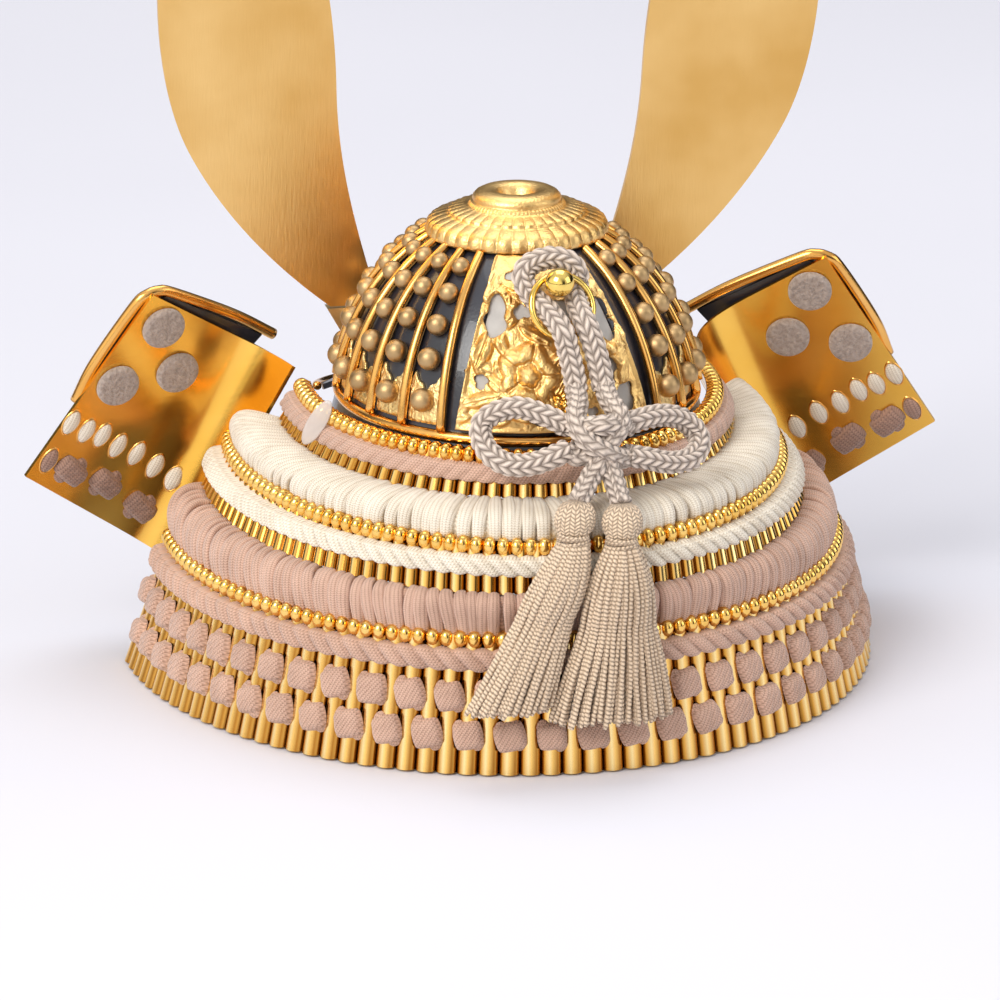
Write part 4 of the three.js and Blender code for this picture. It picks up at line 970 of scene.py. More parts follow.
def openwork(name, node, facing, halves, columns, rows, seed):
    """Cast plate as a grid in degrees and height, raised by foliage and cut where the field is
    below zero; corners that a cut leaves over move down the field's slope onto its edge."""
    u = np.linspace(-1, 1, columns)[:, None]
    t = np.linspace(0, 1, rows)[None, :]
    z = PLATE_LOW_Z + (PLATE_HIGH_Z - PLATE_LOW_Z) * t + 0 * u
    degrees = u * (halves[0] + (halves[1] - halves[0]) * t)
    field = hole_field(degrees, z)
    keep = np.maximum.reduce([field[:-1, :-1], field[1:, :-1], field[1:, 1:], field[:-1, 1:]]) > 0
    du, dt = np.gradient(field)
    slope = np.maximum(du**2 + dt**2, 1e-9)
    inside = field < 0
    step_u = np.where(inside, np.clip(-field * du / slope, -1, 1), 0) * 2 / (columns - 1)
    step_t = np.where(inside, np.clip(-field * dt / slope, -1, 1), 0) / (rows - 1)
    z = z + step_t * (PLATE_HIGH_Z - PLATE_LOW_Z)
    degrees = degrees + step_u * (halves[0] + (halves[1] - halves[0]) * t)
    x = np.radians(degrees) * bowl_radius(z)
    relief = foliage(x, z, seed)
    border = np.exp(-(((1 - np.abs(u)) / 0.035) ** 2)) + np.exp(-((t / 0.03) ** 2)) + 0 * z
    relief = np.maximum(relief, 0.65 * np.clip(border, 0, 1))
    relief = relief * np.clip(0.35 + field / 0.5, 0.35, 1)
    points = over_bowl(facing + degrees, z, 1.05 + relief)
    index = np.arange(columns * rows).reshape(columns, rows)
    quads = np.stack([index[:-1, :-1], index[1:, :-1], index[1:, 1:], index[:-1, 1:]], -1)[keep]
    mesh = bpy.data.meshes.new(name)
    mesh.from_pydata(((points.reshape(-1, 3) + (0, SHIFT_Y, 0)) * MM).tolist(), [], quads.tolist())
    solid = bmesh.new()
    solid.from_mesh(mesh)
    loose = [v for v in solid.verts if not v.link_faces]
    bmesh.ops.delete(solid, geom=loose, context="VERTS")
    solid.to_mesh(mesh)
    solid.free()
    mesh.shade_smooth()
    piece = bpy.data.objects.new(name, mesh)
    bpy.context.scene.collection.objects.link(piece)
    outward = bowl_normal(points[columns // 2, rows // 2])
    if np.dot(np.array(mesh.polygons[len(quads) // 2].normal), outward) < 0:
        mesh.flip_normals()
    mesh.materials.append(LOOK["cast_gold"])
    thick = piece.modifiers.new("wall", "SOLIDIFY")
    thick.thickness = 0.65 * MM
    thick.offset = -1
    dress(piece, "cast_gold", node)


def plate_lining():
    """Pale sheet that shows through the openwork of both plates."""
    u = np.linspace(-1, 1, 40)[:, None]
    z = np.linspace(PLATE_LOW_Z + 0.8, PLATE_HIGH_Z - 0.8, 24)[None]
    share = (z - PLATE_LOW_Z) / (PLATE_HIGH_Z - PLATE_LOW_Z)
    half = 29.0 - 6.0 * share
    skins = [wall(over_bowl(facing + u * half, z, 0.55), over_bowl(facing + u * half, z, 0.25))
             for facing in (0.0, 180.0)]
    add("plate_lining", np.concatenate(skins), "lining")


def rosette():
    """Small bright blossom nailed low on the plate: petals round a ball."""
    at = over_bowl(np.array([2.2]), np.array([60.0]), 1.5)
    normal = bowl_normal(at)
    across = unit(np.cross((0, 0, 1), normal))
    angle = np.linspace(0, 2 * np.pi, 97)
    share = np.linspace(0.02, 1, 26)
    swell = 0.86 + 0.14 * np.abs(np.cos(4 * angle))
    waves = 1 - 0.22 * np.abs(np.sin(4 * angle)) * share[:, None]
    lift = 1.5 * np.sqrt(1 - 0.96 * share**2)[:, None] * waves
    lift = lift - 0.5 * np.exp(-(((share[:, None] - 0.45) / 0.12) ** 2)) + 0 * angle
    other = np.cross(normal, across)
    plan = 2.25 * share[:, None] * swell
    points = at + (plan * np.cos(angle))[..., None] * across + (plan * np.sin(angle))[..., None] * other
    points = points + lift[..., None] * normal
    foot = points[-1:] - 1.2 * normal
    add("plate_rosette", capped(np.concatenate([points, foot])), "bright_gold")


# ---------------------------------------------------------------- rim, neck band and crown
def oval_tube(half_width, depth, z, radius):
    """A round rod bent to an oval; it closes on itself."""
    angle = np.linspace(0, 2 * np.pi, 261)
    around = np.linspace(0, 2 * np.pi, 17)
    grow = radius * np.cos(around)[None, :]
    x = (half_width + grow) * np.sin(angle)[:, None]
    y = -(depth + grow) * np.cos(angle)[:, None]
    return np.stack([x, y, z + radius * np.sin(around)[None, :] + 0 * x], -1)


def rim_and_band():
    """Gold rod round the bowl's foot, and the black band under it."""
    add("bowl_rim_rod", oval_tube(**RIM), "rod_gold", "bowl_rim")
    angle = np.linspace(0, 2 * np.pi, 181)[:, None]
    loop = np.array([(31.0, 33.4, 54.9), (32.2, 34.5, 52.1), (33.6, 36.0, 47), (31.3, 33.5, 47),
                     (30.0, 32.4, 54.9),
                     (31.0, 33.4, 54.9)])
    points = np.stack([loop[:, 0] * np.sin(angle), -loop[:, 1] * np.cos(angle), loop[:, 2] + 0 * angle], -1)
    add("neck_band_lacquer", points, "lacquer", "neck_band", sharp=40)


CROWN_PROFILE = [
    # radius, z, scallop of the radius, groove depth
    (2.2, 86.6, 0, 0), (2.6, 87.6, 0, 0), (3.0, 88.8, 0, 0), (3.5, 89.5, 0, 0), (4.3, 89.85, 0, 0),
    (5.4, 89.9, 0, 0), (6.5, 89.75, 0, 0), (7.3, 89.35, 0, 0), (7.8, 88.8, 0, 0), (7.9, 88.3, 0, 0),
    (7.75, 87.95, 0, 0), (8.0, 87.85, 0, 0.0), (8.35, 87.75, 0, 0.16), (8.6, 87.45, 0, 0.16),
    (8.7, 87.2, 0, 0.04), (9.6, 87.0, 0, 0.10), (10.8, 86.75, 0.05, 0.16), (11.9, 86.45, 0.18, 0.2),
    (12.3, 86.2, 0.22, 0.2), (12.2, 85.85, 0.2, 0.1), (13.0, 85.65, 0.0, 0.12), (14.2, 85.3, 0.05, 0.2),
    (15.1, 84.95, 0.15, 0.25), (15.75, 84.5, 0.22, 0.3), (16.1, 83.9, 0.25, 0.3), (16.3, 83.1, 0.28, 0.32),
    (16.35, 82.5, 0.3, 0.3), (16.2, 82.2, 0.3, 0.15), (15.5, 82.3, 0.1, 0), (15.0, 83.8, 0, 0),
    (8.4, 85.3, 0, 0), (2.2, 85.4, 0, 0), (2.2, 86.6, 0, 0),
]


def crown():
    """Turned profile whose tiers are cut into 36 petals: grooves sink the surface, scallops
    draw the edge in between two petals. The bead line has twice as many bumps."""
    radius, z, scallop, groove = np.array(CROWN_PROFILE, float).T
    angle = np.linspace(0, 2 * np.pi, 36 * 14 + 1)[:, None]
    seam = 1 - np.abs(np.cos(18 * angle)) ** 0.45
    seam = np.where((radius > 8.1) & (radius < 8.65), 1 - np.abs(np.cos(36 * angle)), seam)
    fan = 0.35 + 0.65 * np.abs(np.cos(18 * angle)) ** 2
    r = radius - scallop * (1 - fan) - groove * seam * 0.6
    height = z - groove * seam * 0.8
    points = np.stack([r * np.sin(angle), -r * np.cos(angle), height], -1)
    add("crown_petals", points, "cast_gold", "crown")


bowl_shell()
studs()
ribs()
base_plates()
openwork("back_openwork", "back_plate", 0.0, (32.0, 26.0), 176, 132, 11)
openwork("front_openwork", "front_plate", 180.0, (32.0, 27.0), 96, 74, 12)
plate_lining()
rosette()
rim_and_band()
crown()


# ---------------------------------------------------------------- neck guard
def ring_angles(ring, share):
    """Angles on a ring's ellipse at equal shares of its length, from its left end (0) on."""
    half_width, depth, centre_y, _, end_y = ring
    end = math.acos((centre_y - end_y) / depth)
    fine = np.linspace(-end, end, 1200)
    speed = np.hypot(half_width * np.cos(fine), depth * np.sin(fine))
    along = np.concatenate([[0], np.cumsum((speed[1:] + speed[:-1]) / 2 * np.diff(fine))])
    return np.interp(np.asarray(share) * along[-1], along, fine)


def on_ring(ring, share, out):
    """Points on a ring, `out` beyond its ellipse."""
    half_width, depth, centre_y, z, _ = ring
    angle = ring_angles(ring, share)
    x = (half_width + out) * np.sin(angle)
    y = centre_y - (depth + out) * np.cos(angle)
    return np.stack(np.broadcast_arrays(x, y, z + 0 * x), -1)


def on_lame(lame, share, down, out=0.0):
    """Points on a lame's wall: along it (0 to 1), down it (0 head, 1 foot) and out of it."""
    share, down, out = np.broadcast_arrays(np.asarray(share, float), down, out)
    head = on_ring(RINGS[lame["head"]], share, out)
    foot = on_ring(RINGS[lame["foot"]], share, out)
    return head + (foot - head) * down[..., None]


def lame_frame(lame, share, down):
    """Unit vectors along, down and out of a lame's wall."""
    along = unit(on_lame(lame, share + 1e-3, down) - on_lame(lame, share - 1e-3, down))
    downwards = unit(on_lame(lame, share, down + 0.01) - on_lame(lame, share, down - 0.01))
    out = unit(np.cross(along, downwards))
    centre = np.array([0, RINGS[lame["head"]][2], 0])
    facing = ((on_lame(lame, share, down) - centre) * (1, 1, 0) * out).sum(-1, keepdims=True)
    return along, downwards, np.where(facing > 0, out, -out)


def lame_walls():
    """Gold lames: half-round flutes, one to a scale, that meet in sharp valleys.

    The wall stands out by FLUTE_DEPTH * sqrt(1 - 0.97 q^2), where q runs from -1 to 1 over a
    flute, less the depth of the valleys.
    """
    for number, lame in LAMES.items():
        count = lame["scales"]
        share = np.linspace(0, 1, count * 14 + 1)
        across = 2 * np.mod(count * share, 1) - 1
        out = FLUTE_DEPTH * np.sqrt(1 - 0.97 * across**2) - 0.62
        down = np.linspace(lame["top"], lame["low"], 4)
        outer = on_lame(lame, share[:, None], down[None], out[:, None])
        inner = on_lame(lame, share[:, None], down[None], -LAME_WALL)
        loops = wall(outer, inner)
        flutes = np.concatenate([share[:1], share, share[-1:]]) * count
        weave = np.stack(np.broadcast_arrays(flutes[:, None], np.zeros(loops.shape[2])), -1)
        # the lames wear gold with painted highlights, painted reflections and painted shade in the valleys
        add(f"lame_{number}_flutes", loops, "flute_gold_painted_light", f"lame_{number}", weave=weave, sharp=50)


def scale_heads():
    """Round heads of the scales along each lame's upper edge: a deep half egg on every one."""
    turn = np.radians(np.linspace(2, 90, 7))
    for number, lame in LAMES.items():
        count = lame["heads"]
        share = (np.arange(count) + 0.5) / count
        half = 0.5 * lame_length(lame, 0.0) / count
        drop = 1.3 / np.linalg.norm(on_lame(lame, 0.5, 1.0) - on_lame(lame, 0.5, 0.0))
        down = np.full(count, lame["top"] + drop * 0.55)
        along, _, out = lame_frame(lame, share, down)
        centre = on_lame(lame, share, down, 0.55)
        profile = [(np.sin(a), 1.35 * np.cos(a)) for a in turn] + [(1.0, -1.2)]
        points = dome(centre, out, along, (half * 0.95, 1.55), profile, sides=15, square=2.2)
        add(f"scale_heads_{number}", capped(points), "bright_gold", sharp=60)


def lame_length(lame, down):
    """Length of a lame along its wall, in millimetres."""
    return np.linalg.norm(np.diff(on_lame(lame, np.linspace(0, 1, 400), down), axis=0), axis=1).sum()


def wrapped_band(name, number, low, high, look, pitch, slant, depth, thick):
    """Braid wound round a lame: pillowed across its width, cut into slanted turns.

    The height is (thick + depth * (lump - 0.5)) * (1 - |w|^3.2)^0.5, where lump is
    |sin(pi * turns)|^0.7 and the turns lean by `slant` over the band's width w.
    """
    lame = LAMES[number]
    length = lame_length(lame, (low + high) / 2)
    turns = round(length / pitch)
    share = np.linspace(0, 1, turns * 9 + 1)[:, None]
    w = np.linspace(-1, 1, 15)[None, :]
    phase = turns * share + slant * w
    lump = np.abs(np.sin(np.pi * phase)) ** 0.7
    edge = np.clip(1 - np.abs(w) ** 3.2, 0, 1) ** 0.5
    out = 0.65 + (thick + depth * (lump - 0.5)) * edge
    middle, half = (low + high) / 2, (high - low) / 2
    down = middle + half * w * (0.84 + 0.2 * lump)
    outer = on_lame(lame, share, down, out)
    inner = on_lame(lame, share, down, 0.2 + 0 * w)
    wide = half * np.linalg.norm(on_lame(lame, 0.5, 1.0) - on_lame(lame, 0.5, 0.0))
    weave = np.stack([wide * w + 0 * share, share * length + 0.6 * wide * w], -1)
    loops = wall(outer, inner)
    columns = loops.shape[2]
    index = np.concatenate([np.arange(15), np.arange(15)[::-1], [0]])[:columns]
    rows = np.concatenate([[0], np.arange(len(share)), [-1]])
    add(name, loops, look, f"braid_band_{number}", weave=weave[rows][:, index])


def pillow_grid(half_long, half_wide, high, ribs, slant, cells=15):
    """Rounded pillow on a square grid: places across and down, heights, and slanted ribs.

    height = body * (high + ribs * |sin(pi * slant * (u + 0.55 v))|) - 0.25, where body is
    sqrt((1 - u^4) (1 - v^4)); the corners are drawn in.
    """
    u, v = np.meshgrid(np.linspace(-1, 1, cells), np.linspace(-1, 1, cells), indexing="ij")
    draw = 1 - 0.16 * (u * v) ** 2
    body = np.sqrt(np.clip(1 - u**4, 0, 1) * np.clip(1 - v**4, 0, 1))
    height = high * body + ribs * body * np.abs(np.sin(np.pi * slant * (u + 0.55 * v))) - 0.25
    return u * draw * half_long, v * draw * half_wide, height


def cross_knots(name, number, down, offset):
    """Row of cross knots: a narrow tape one way and a broad ribbed one the other way over it."""
    lame = LAMES[number]
    count = lame["scales"] // 2
    share = (np.arange(count) + offset) / count
    down = np.full(count, down)
    along, downwards, out = lame_frame(lame, share, down)
    rng = np.random.default_rng(number * 10 + int(offset * 10))
    copies, weaves = [], []
    tapes = ((44, (3.5, 1.35, 0.9, 0.15, 1.5), 0.1), (-12, (2.75, 2.65, 1.55, 0.32, 2.0), 0.35))
    for tilt, sizes, base in tapes:
        spin = np.radians(tilt + rng.uniform(-8, 8, count))[:, None, None, None]
        a, d, o = along[:, None, None], downwards[:, None, None], out[:, None, None]
        across, other = a * np.cos(spin) + d * np.sin(spin), d * np.cos(spin) - a * np.sin(spin)
        x, y, height = (part[None, ..., None] for part in pillow_grid(*sizes))
        size = rng.uniform(0.95, 1.05, (count, 1, 1, 1))
        middle = on_lame(lame, share, down, 0.55)[:, None, None]
        copies.append(middle + x * size * across + y * size * other + (height + base) * o)
        flat = np.concatenate([(x - y)[0], (x + y)[0]], -1) / math.sqrt(2)
        weaves.append(np.broadcast_to(flat, (count, *flat.shape)))
    points, weave = np.concatenate(copies), np.concatenate(weaves)
    add(f"knots_{name}", points, "pink", f"knot_row_{name}", weave=weave)


def hanging_tapes(look, upper, lower, seed, pitch=2.1, bulge=1.1):
    """Row of flat tapes from one lame's foot to the next one's head, packed side by side.

    Each follows a cubic curve from under the upper scales, out and down, to the lower heads;
    small shifts at both ends make them lean and bunch. Its section is a rounded oblong.
    """
    above, below = LAMES[upper], LAMES[lower]
    length = lame_length(below, 0.0) * 0.5 + lame_length(above, 1.0) * 0.5
    count = round(length / pitch)
    rng = np.random.default_rng(seed)
    share = (np.arange(count) + 0.5) / count
    drift = rng.normal(0, 0.16, count) / count
    group = 0.3 * np.sin(np.cumsum(rng.uniform(0.5, 1.6, count))) / count
    start = on_lame(above, share + drift, above["low"] - 0.02)
    foot_share = np.clip(share + drift * 0.5 + group + 0.25 / count, 0.002, 0.998)
    end = on_lame(below, foot_share, below["top"] + 0.03)
    outward = unit((end - (0, 8, 0)) * (1, 1, 0))
    first = start + outward * 0.55 - (0, 0, 0.5)
    span = np.linalg.norm(end - start, axis=-1, keepdims=True)
    leave = first + outward * (0.4 * span) + (0, 0, 0.05) * span
    swell = rng.uniform(0.85, 1.15, (count, 1)) * bulge
    arrive = end + outward * swell + (0, 0, 0.5) * span
    last = end - outward * 0.4 + (0, 0, 0.5)
    t = np.linspace(0, 1, 18)[None, :, None]
    path = cubic(*(knee[:, None] for knee in (first, leave, arrive, last)), t)
    tangent = unit(np.gradient(path, axis=1))
    flat = unit(np.cross(tangent, outward[:, None] * np.ones((1, 18, 1)) + (0, 0, 0.4)))
    thick = np.cross(flat, tangent)
    angle = np.linspace(0, 2 * np.pi, 17)
    c, s = np.cos(angle), np.sin(angle)
    oblong = (np.abs(c) ** 3 + np.abs(s) ** 3) ** (-1 / 3)
    half = 0.5 * (length / count) * rng.uniform(1.08, 1.22, (count, 1, 1, 1))
    wide = half * (oblong * c)[None, None, :, None] * (1 - 0.1 * np.cos(2 * np.pi * t))[..., None]
    twist = rng.normal(0, 0.16, (count, 1, 1, 1)) * wide
    deep = (0.75 * oblong * s * (1 - 0.25 * c**2))[None, None, :, None] + twist
    points = path[:, :, None] + flat[:, :, None] * wide + thick[:, :, None] * deep
    along = np.linspace(0, float(span.mean()) * 1.15, 18)[:, None] + 0 * angle
    weave = np.stack([along, (oblong * c * pitch / 2 + 0 * along)], -1)
    weave = np.concatenate([weave[:1], weave, weave[-1:]])
    add(f"{look}_tapes", capped(points), look, f"lacing_{look}", weave=weave)
    tucked = np.concatenate([path, (last - outward * 0.7 - (0, 0, 2.4))[:, None]], 1)
    under = tucked - outward[:, None] * 0.55
    deeper = under - outward[:, None] * 0.5
    back = wall(under, deeper)
    length_along = np.linspace(0, length, back.shape[1])[:, None] + np.zeros(back.shape[2])
    weave = np.stack([np.linspace(0, 12, back.shape[2])[None] + 0 * length_along, length_along], -1)
    add(f"{look}_tapes_lining", back, look, weave=weave)


def neck_guard():
    """Lames, their scale heads, and all the braid on and between them."""
    lame_walls()
    scale_heads()
    wrapped_band("band_1_tape", 1, 0.28, 0.8, "pink", 3.0, 0.5, 0.45, 1.5)
    wrapped_band("band_2_rope", 2, 0.2, 0.72, "ivory", 2.9, -0.55, 1.3, 1.8)
    wrapped_band("band_3_rope", 3, 0.06, 0.225, "pink", 3.4, -0.5, 1.2, 1.8)
    cross_knots("upper", 3, 0.425, 0.25)
    cross_knots("lower", 3, 0.71, 0.75)
    hanging_tapes("ivory", 1, 2, 21)
    hanging_tapes("pink", 2, 3, 22)


# ---------------------------------------------------------------- wings
def wing_corner(name):
    """A named corner of the right wing, as a vector."""
    return np.array(WING[name])


WING_OUT = unit(wing_corner("top_outer") - wing_corner("top_bend"))
WING_DOWN = unit(wing_corner("foot_outer") - wing_corner("top_outer"))


def wing_grid(away, rows=9, fine=1):
    """Right wing's sheet: a flat stretch, then a cubic bend back to the neck guard, in rows from
    top to foot, moved `away` along its own normal."""
    down = np.linspace(0, 1, rows)[:, None]
    lines = {}
    for part in ("outer", "bend", "inner"):
        top, foot = wing_corner(f"top_{part}"), wing_corner(f"foot_{part}")
        lines[part] = top + (foot - top) * down
    ahead = unit(lines["bend"] - lines["outer"])
    reach = np.linalg.norm(lines["bend"] - lines["inner"], axis=1, keepdims=True)
    flat_end = lines["outer"] + (lines["bend"] - lines["outer"]) * 0.7
    knees = [flat_end, lines["bend"] + ahead * reach * 0.25, lines["inner"] + (0.2, 1, 0) * reach * 0.5,
             lines["inner"]]
    bend = cubic(*knees, np.linspace(0, 1, 30 * fine)[1:, None, None])
    s = np.linspace(0, 1, 14 * fine)[:, None, None]
    flat = lines["outer"] * (1 - s) + flat_end * s
    grid = np.concatenate([flat, bend])
    normal = unit(np.cross(np.gradient(grid, axis=0), WING_DOWN))
    facing = (normal[2, 0] * WING_FACE).sum()
    return grid + normal * math.copysign(away, facing * away) if away else grid


def wing_spots(places, tilt=8):
    """Spots on the right wing's back face nearest to (x, z) places: points, normals, and
    directions in the face, `tilt` degrees from the wing's outward edge."""
    back, middle = (wing_grid(away, 121, 4).reshape(-1, 3) for away in (WING_PLATE / 2, 0.0))
    nearest = [np.argmin(((back[:, ::2] - place) ** 2).sum(-1)) for place in places]
    centres, normal = back[nearest], unit(back[nearest] - middle[nearest])
    spin = math.radians(tilt)
    direction = np.broadcast_to(WING_OUT * math.cos(spin) + WING_DOWN * math.sin(spin), normal.shape)
    return centres, normal, unit(direction - normal * (direction * normal).sum(-1, keepdims=True))


def board_corners():
    """Corners of the board in front of the plate, proud at the top and the outer side."""
    proud = 2.0
    drop = 25.0
    places = [("top_bend", -4.0, -proud), ("top_outer", -0.2, -proud * 0.3), ("top_outer", -0.2, drop),
              ("top_bend", 0, drop)]
    return [wing_corner(name) + WING_OUT * out + WING_DOWN * down for name, out, down in places]


def wing_board_and_rim():
    """Black board with one corner cut, and the gold rod round its top and outer edges."""
    top_inner, top_outer, foot_outer, foot_inner = board_corners()
    ahead = -unit(WING_FACE)
    cut = 3.5
    lines = [(top_inner, foot_inner),
             (top_outer + unit(top_inner - top_outer) * cut,
              foot_outer + unit(foot_inner - foot_outer) * cut),
             (top_outer + unit(foot_outer - top_outer) * cut, foot_outer)]
    near = WING_PLATE / 2 + 0.3
    t = np.linspace(0, 1, 6)[:, None]
    board = wall(*(np.array([a * (1 - t) + b * t + ahead * away for a, b in lines])
                   for away in (near, near + WING_BOARD)))
    outside = 0.9
    stops = [(top_inner, -2.5, -outside), (top_inner, 8, -outside), (top_outer, -4.5, -outside),
             (top_outer, -1.6, -outside + 0.9), (top_outer, outside - 0.9, 1.6), (top_outer, outside, 4.5),
             (foot_outer, outside, -8), (foot_outer, outside - 1.4, 0)]
    middle = ahead * (near + WING_BOARD / 2)
    route = [corner + middle + WING_OUT * out + WING_DOWN * down for corner, out, down in stops]
    rod = tube(smooth_route(route, 0.7)[0][None], 1.05, 15)
    add_pair("wing_board_skin", board, "lacquer", "wing_board", sharp=40)
    add_pair("wing_rim_rod", rod, "rod_gold", "wing_rim")


WING_EYES = [(76.5, 43.7), (73.3, 41.7), (70.5, 40.1), (67.3, 37.7), (63.9, 35.3), (60.2, 32.2),
             (56.8, 29.5)]
EYE = (1.5, 2.5)  # half width and half length
WING_KNOTS = [(76.2, 33.9), (69.4, 30.0), (62.9, 24.2)]
WING_END_EYE = [(80.5, 36.5)]
DISC_PLACES = {"upper": (59.8, 61.2), "inner": (56.7, 51.6), "outer": (67.9, 50.4)}


def wing_plates():
    """Gold sheets of the wings, bent towards the neck guard at their inner side."""
    back, front = wing_grid(WING_PLATE / 2), wing_grid(-WING_PLATE / 2)
    add_pair("wing_sheet", wall(back, front), "wing_gold", "wing_plate", sharp=35)


def wing_pillows(name, look, sizes, tilt, base=0.0):
    """Pillows of tape at the knots on both wings; sizes go to pillow_grid()."""
    centres, normal, across = wing_spots(WING_KNOTS, tilt)
    other = np.cross(normal, across)
    x, y, height = (part[None, ..., None] for part in pillow_grid(*sizes))
    points = (centres[:, None, None] + x * across[:, None, None] + y * other[:, None, None]
              + (height + base) * normal[:, None, None])
    add_pair(name, points, look, weave=np.concatenate([y[0], x[0]], -1))


def wing_eyes(name, places, look):
    """Ovals of tape that bulge out of slits in the wings, each in a thin gold lip."""
    centres, normal, across = wing_spots(places)
    turn = np.radians(np.linspace(1, 90, 9))
    oval = [(math.sin(a), 0.85 * math.cos(a)) for a in turn] + [(0.98, -0.2)]
    lip = [(0.96, -0.1), (1.02, 0.22), (1.1, 0.24), (1.16, 0.0)]
    angle = np.linspace(0, 2 * np.pi, 25)
    reach = np.array([0] + [share for share, _ in oval] + [0])[:, None]
    weave = np.stack([reach * EYE[1] * np.sin(angle), reach * EYE[0] * np.cos(angle)], -1)
    add_pair(name, capped(dome(centres, normal, across, EYE, oval, 25, 1.75)), look, weave=weave)
    add_pair(f"{name}_lips", dome(centres, normal, across, EYE, lip, 33, 1.75), "rod_gold")


def felt_discs():
    """Round felt pads: a flat top with a soft edge, one piece each."""
    turn = np.radians(np.linspace(0, 90, 8))
    profile = [(0.02, 1.35), (0.4, 1.36)] + [(0.8 + 0.2 * np.sin(a), 0.55 + 0.8 * np.cos(a)) for a in turn]
    profile += [(1.0, 0.1), (0.97, 0.0)]
    for name, place in DISC_PLACES.items():
        centre, normal, _ = wing_spots([place])
        across = unit(np.cross((0, 0, 1), normal))
        points = capped(dome(centre + normal * 0.02, normal, across, (4.0, 4.0), profile, 49))
        add_pair(f"felt_pad_{name}", points, "felt", f"felt_disc_{name}")


def wings():
    """Plates, boards, rims, pads and the lacing that shows on the wings' backs."""
    wing_plates()
    wing_board_and_rim()
    felt_discs()
    wing_eyes("wing_eyes", WING_EYES, "ivory")
    # the end eye and the knots wear the darkened pink tape: painted shade
    wing_eyes("wing_end_eye", WING_END_EYE, "pink_painted_shade")
    wing_pillows("wing_knots_under", "pink_painted_shade", (3.5, 1.5, 1.0, 0.2, 1.5), 58)
    wing_pillows("wing_knots", "pink_painted_shade", (3.4, 2.3, 1.6, 0.35, 2.0), -14, 0.3)


# ---------------------------------------------------------------- visor, horns and their base
def visor_edge(degrees, share, lift=0.0):
    """Points from the visor's inner edge (0) to its outer, lower one (1)."""
    swell = np.clip(np.cos(np.radians(degrees * 1.45)), 0, None) ** 0.7
    reach = share * (12 * swell + 0.8)
    x = (33.4 + reach) * np.sin(np.radians(degrees))
    y = (36.0 + reach) * np.cos(np.radians(degrees))
    return np.stack(np.broadcast_arrays(x, y, 51.2 - share * 7 * swell + lift), -1)


def visor():
    """Peak of black lacquer over the brow, with a gold rod along its edge."""
    degrees = np.linspace(-58, 58, 97)[:, None]
    share = np.linspace(0, 1, 10)[None]
    skin = wall(visor_edge(degrees, share), visor_edge(degrees, share, -1.1))
    add("visor_lacquer", skin, "lacquer", "visor", sharp=40)
    degrees = np.linspace(-57, 57, 120)
    away = np.stack([np.sin(np.radians(degrees)), np.cos(np.radians(degrees)), 0 * degrees], -1)
    path = visor_edge(degrees, 1.0, -0.5) + 1.15 * away
    add("visor_rim_rod", tube(path[None], 0.8, 15), "rod_gold", "visor_rim")


def bezier(points, t):
    """Cubic curve through four control points in x and z."""
    return cubic(*np.array(points, float), t[:, None])


def horn_ladder(rows=90, columns=17):
    """Horn's face as rungs between its inner and outer edges; near the top the rungs sag
    into the notch by a rounded V that fades out downwards."""
    half = np.linspace(0, 1, 40)
    outer = np.concatenate([bezier([(28.6, 62.2), (39, 70.5), (48, 80.5), (54, 92)], half),
                            bezier([(54, 92), (60.5, 104), (63, 128), (56.5, 150)], half)[1:]])
    inner = np.concatenate([bezier([(19.6, 62.2), (24.5, 78), (27.6, 90), (28, 104)], half),
                            bezier([(28, 104), (28.5, 120), (31, 132), (36.5, 148.5)], half)[1:]])
    t = np.linspace(0, 1, rows)
    own = np.linspace(0, 1, len(outer))
    left = np.stack([np.interp(t, own, inner[:, k]) for k in (0, 1)], -1)
    right = np.stack([np.interp(t, own, outer[:, k]) for k in (0, 1)], -1)
    s = np.linspace(0, 1, columns)
    face = left[:, None] * (1 - s)[None, :, None] + right[:, None] * s[None, :, None]
    notch = 10.8 * np.clip(1 - np.abs(s - 0.48) / 0.5, 0, 1) ** 0.85
    face[..., 1] -= t[:, None] ** 9 * notch
    return face


def horns():
    """Flat brushed horns, leaning back a little from their sockets."""
    face = horn_ladder()
    x, z = face[..., 0], face[..., 1] - HORN["foot_z"]
    lean = HORN["lean"]

    def skin(away):
        y = HORN["foot_y"] - z * math.sin(lean) + away * math.cos(lean)
        return np.stack([x, y, HORN["foot_z"] + 0.1 + z * math.cos(lean) + away * math.sin(lean)], -1)

    half = HORN["thickness"] / 2
    add_pair("horn_blade", wall(skin(-half), skin(half)), "horn_gold", "horn", sharp=40)


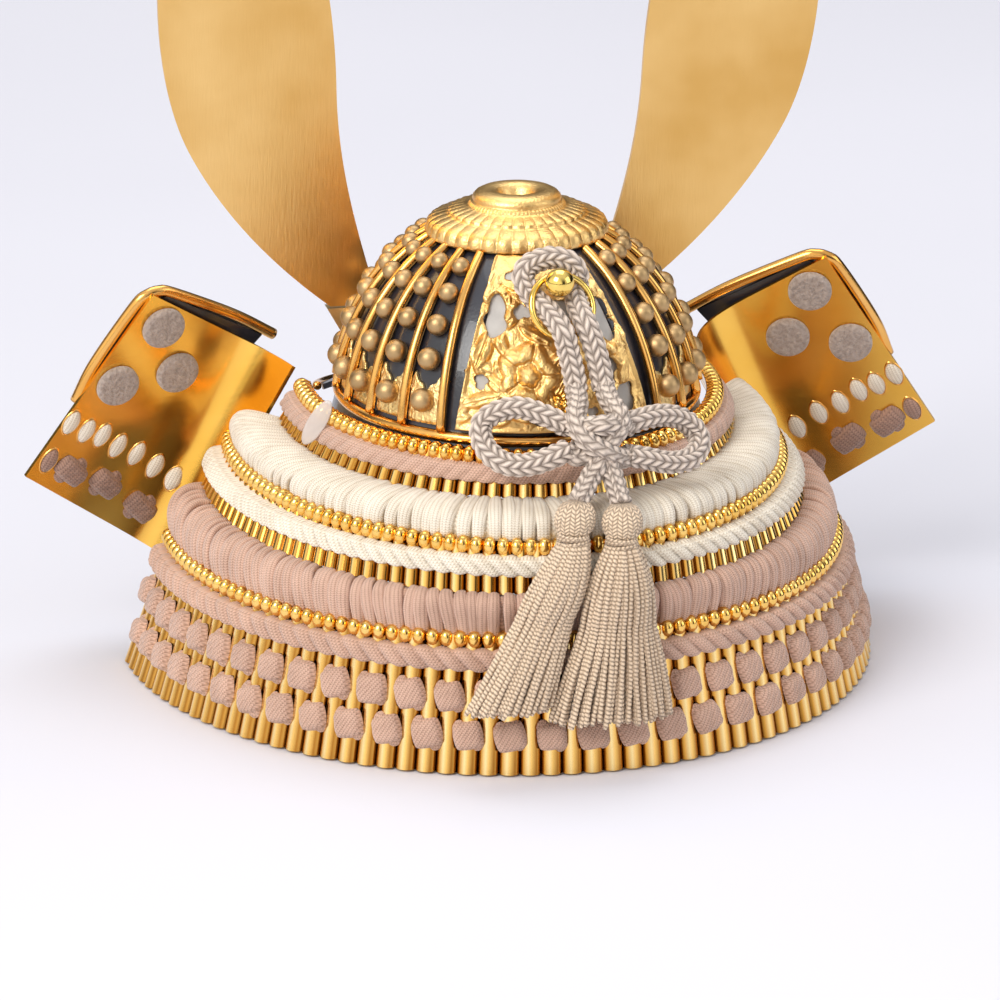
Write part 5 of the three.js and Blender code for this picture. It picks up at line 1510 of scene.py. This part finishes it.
def ring():
    """Wire ring that hangs from the stud: a circle tipped by `lean` and turned about the axis."""
    around = np.linspace(0, 2 * np.pi, 97)
    lean, turn = math.radians(90 - RING["lean"]), math.radians(RING["turn"])
    flat = np.stack([RING["radius"] * np.cos(around), RING["radius"] * np.sin(around), 0 * around], -1)
    tilt = np.array([[1, 0, 0], [0, math.cos(lean), -math.sin(lean)], [0, math.sin(lean), math.cos(lean)]])
    spin = np.array([[math.cos(turn), -math.sin(turn), 0], [math.sin(turn), math.cos(turn), 0], [0, 0, 1]])
    normal = spin @ tilt @ np.array([0, 0, 1.0])
    path = flat @ tilt.T @ spin.T
    outward = unit(path)
    section = np.linspace(0, 2 * np.pi, 17)[None, :, None]
    wire = RING["wire"] * 1.1
    points = path[:, None] + wire * (np.cos(section) * outward[:, None] + np.sin(section) * normal)
    add("ring_wire", points + np.array(RING["centre"]), "ball_gold", "cord_ring")


def ball_stud():
    """Ball on a pin that the ring and the cord hang from."""
    foot, ball = np.array(STUD_PIN["foot"]), np.array(STUD_PIN["ball"])
    axis = unit(ball - foot)
    reach = float(np.linalg.norm(ball - foot))
    turn = np.radians(np.linspace(1, 155, 30))
    r = STUD_PIN["ball_radius"]
    profile = [(math.sin(a), reach + r * math.cos(a)) for a in turn] + [(STUD_PIN["pin"] / r, 0.0)]
    across = unit(np.cross((0, 0, 1), axis))[None]
    points = capped(dome(foot[None], axis[None], across, (r, r), profile, 49))
    add("stud_ball", points, "ball_gold", "ring_stud")


def clear_tab():
    """Oval tab of frosted plastic with a rounded edge."""
    along, normal = unit(np.array(TAB["along"])), unit(np.array(TAB["normal"]))
    along = unit(along - normal * (along * normal).sum())
    edge = [(0.02, 0.25), (0.9, 0.25), (0.98, 0.2), (1.0, 0.0), (0.98, -0.2), (0.9, -0.25), (0.02, -0.25)]
    points = capped(dome(np.array(TAB["centre"])[None], normal[None], along[None], TAB["halves"], edge, 49))
    add("clear_tab_skin", points, "frosted", "clear_tab")


neck_guard()
wings()
visor()
horns()
ring()
ball_stud()
clear_tab()
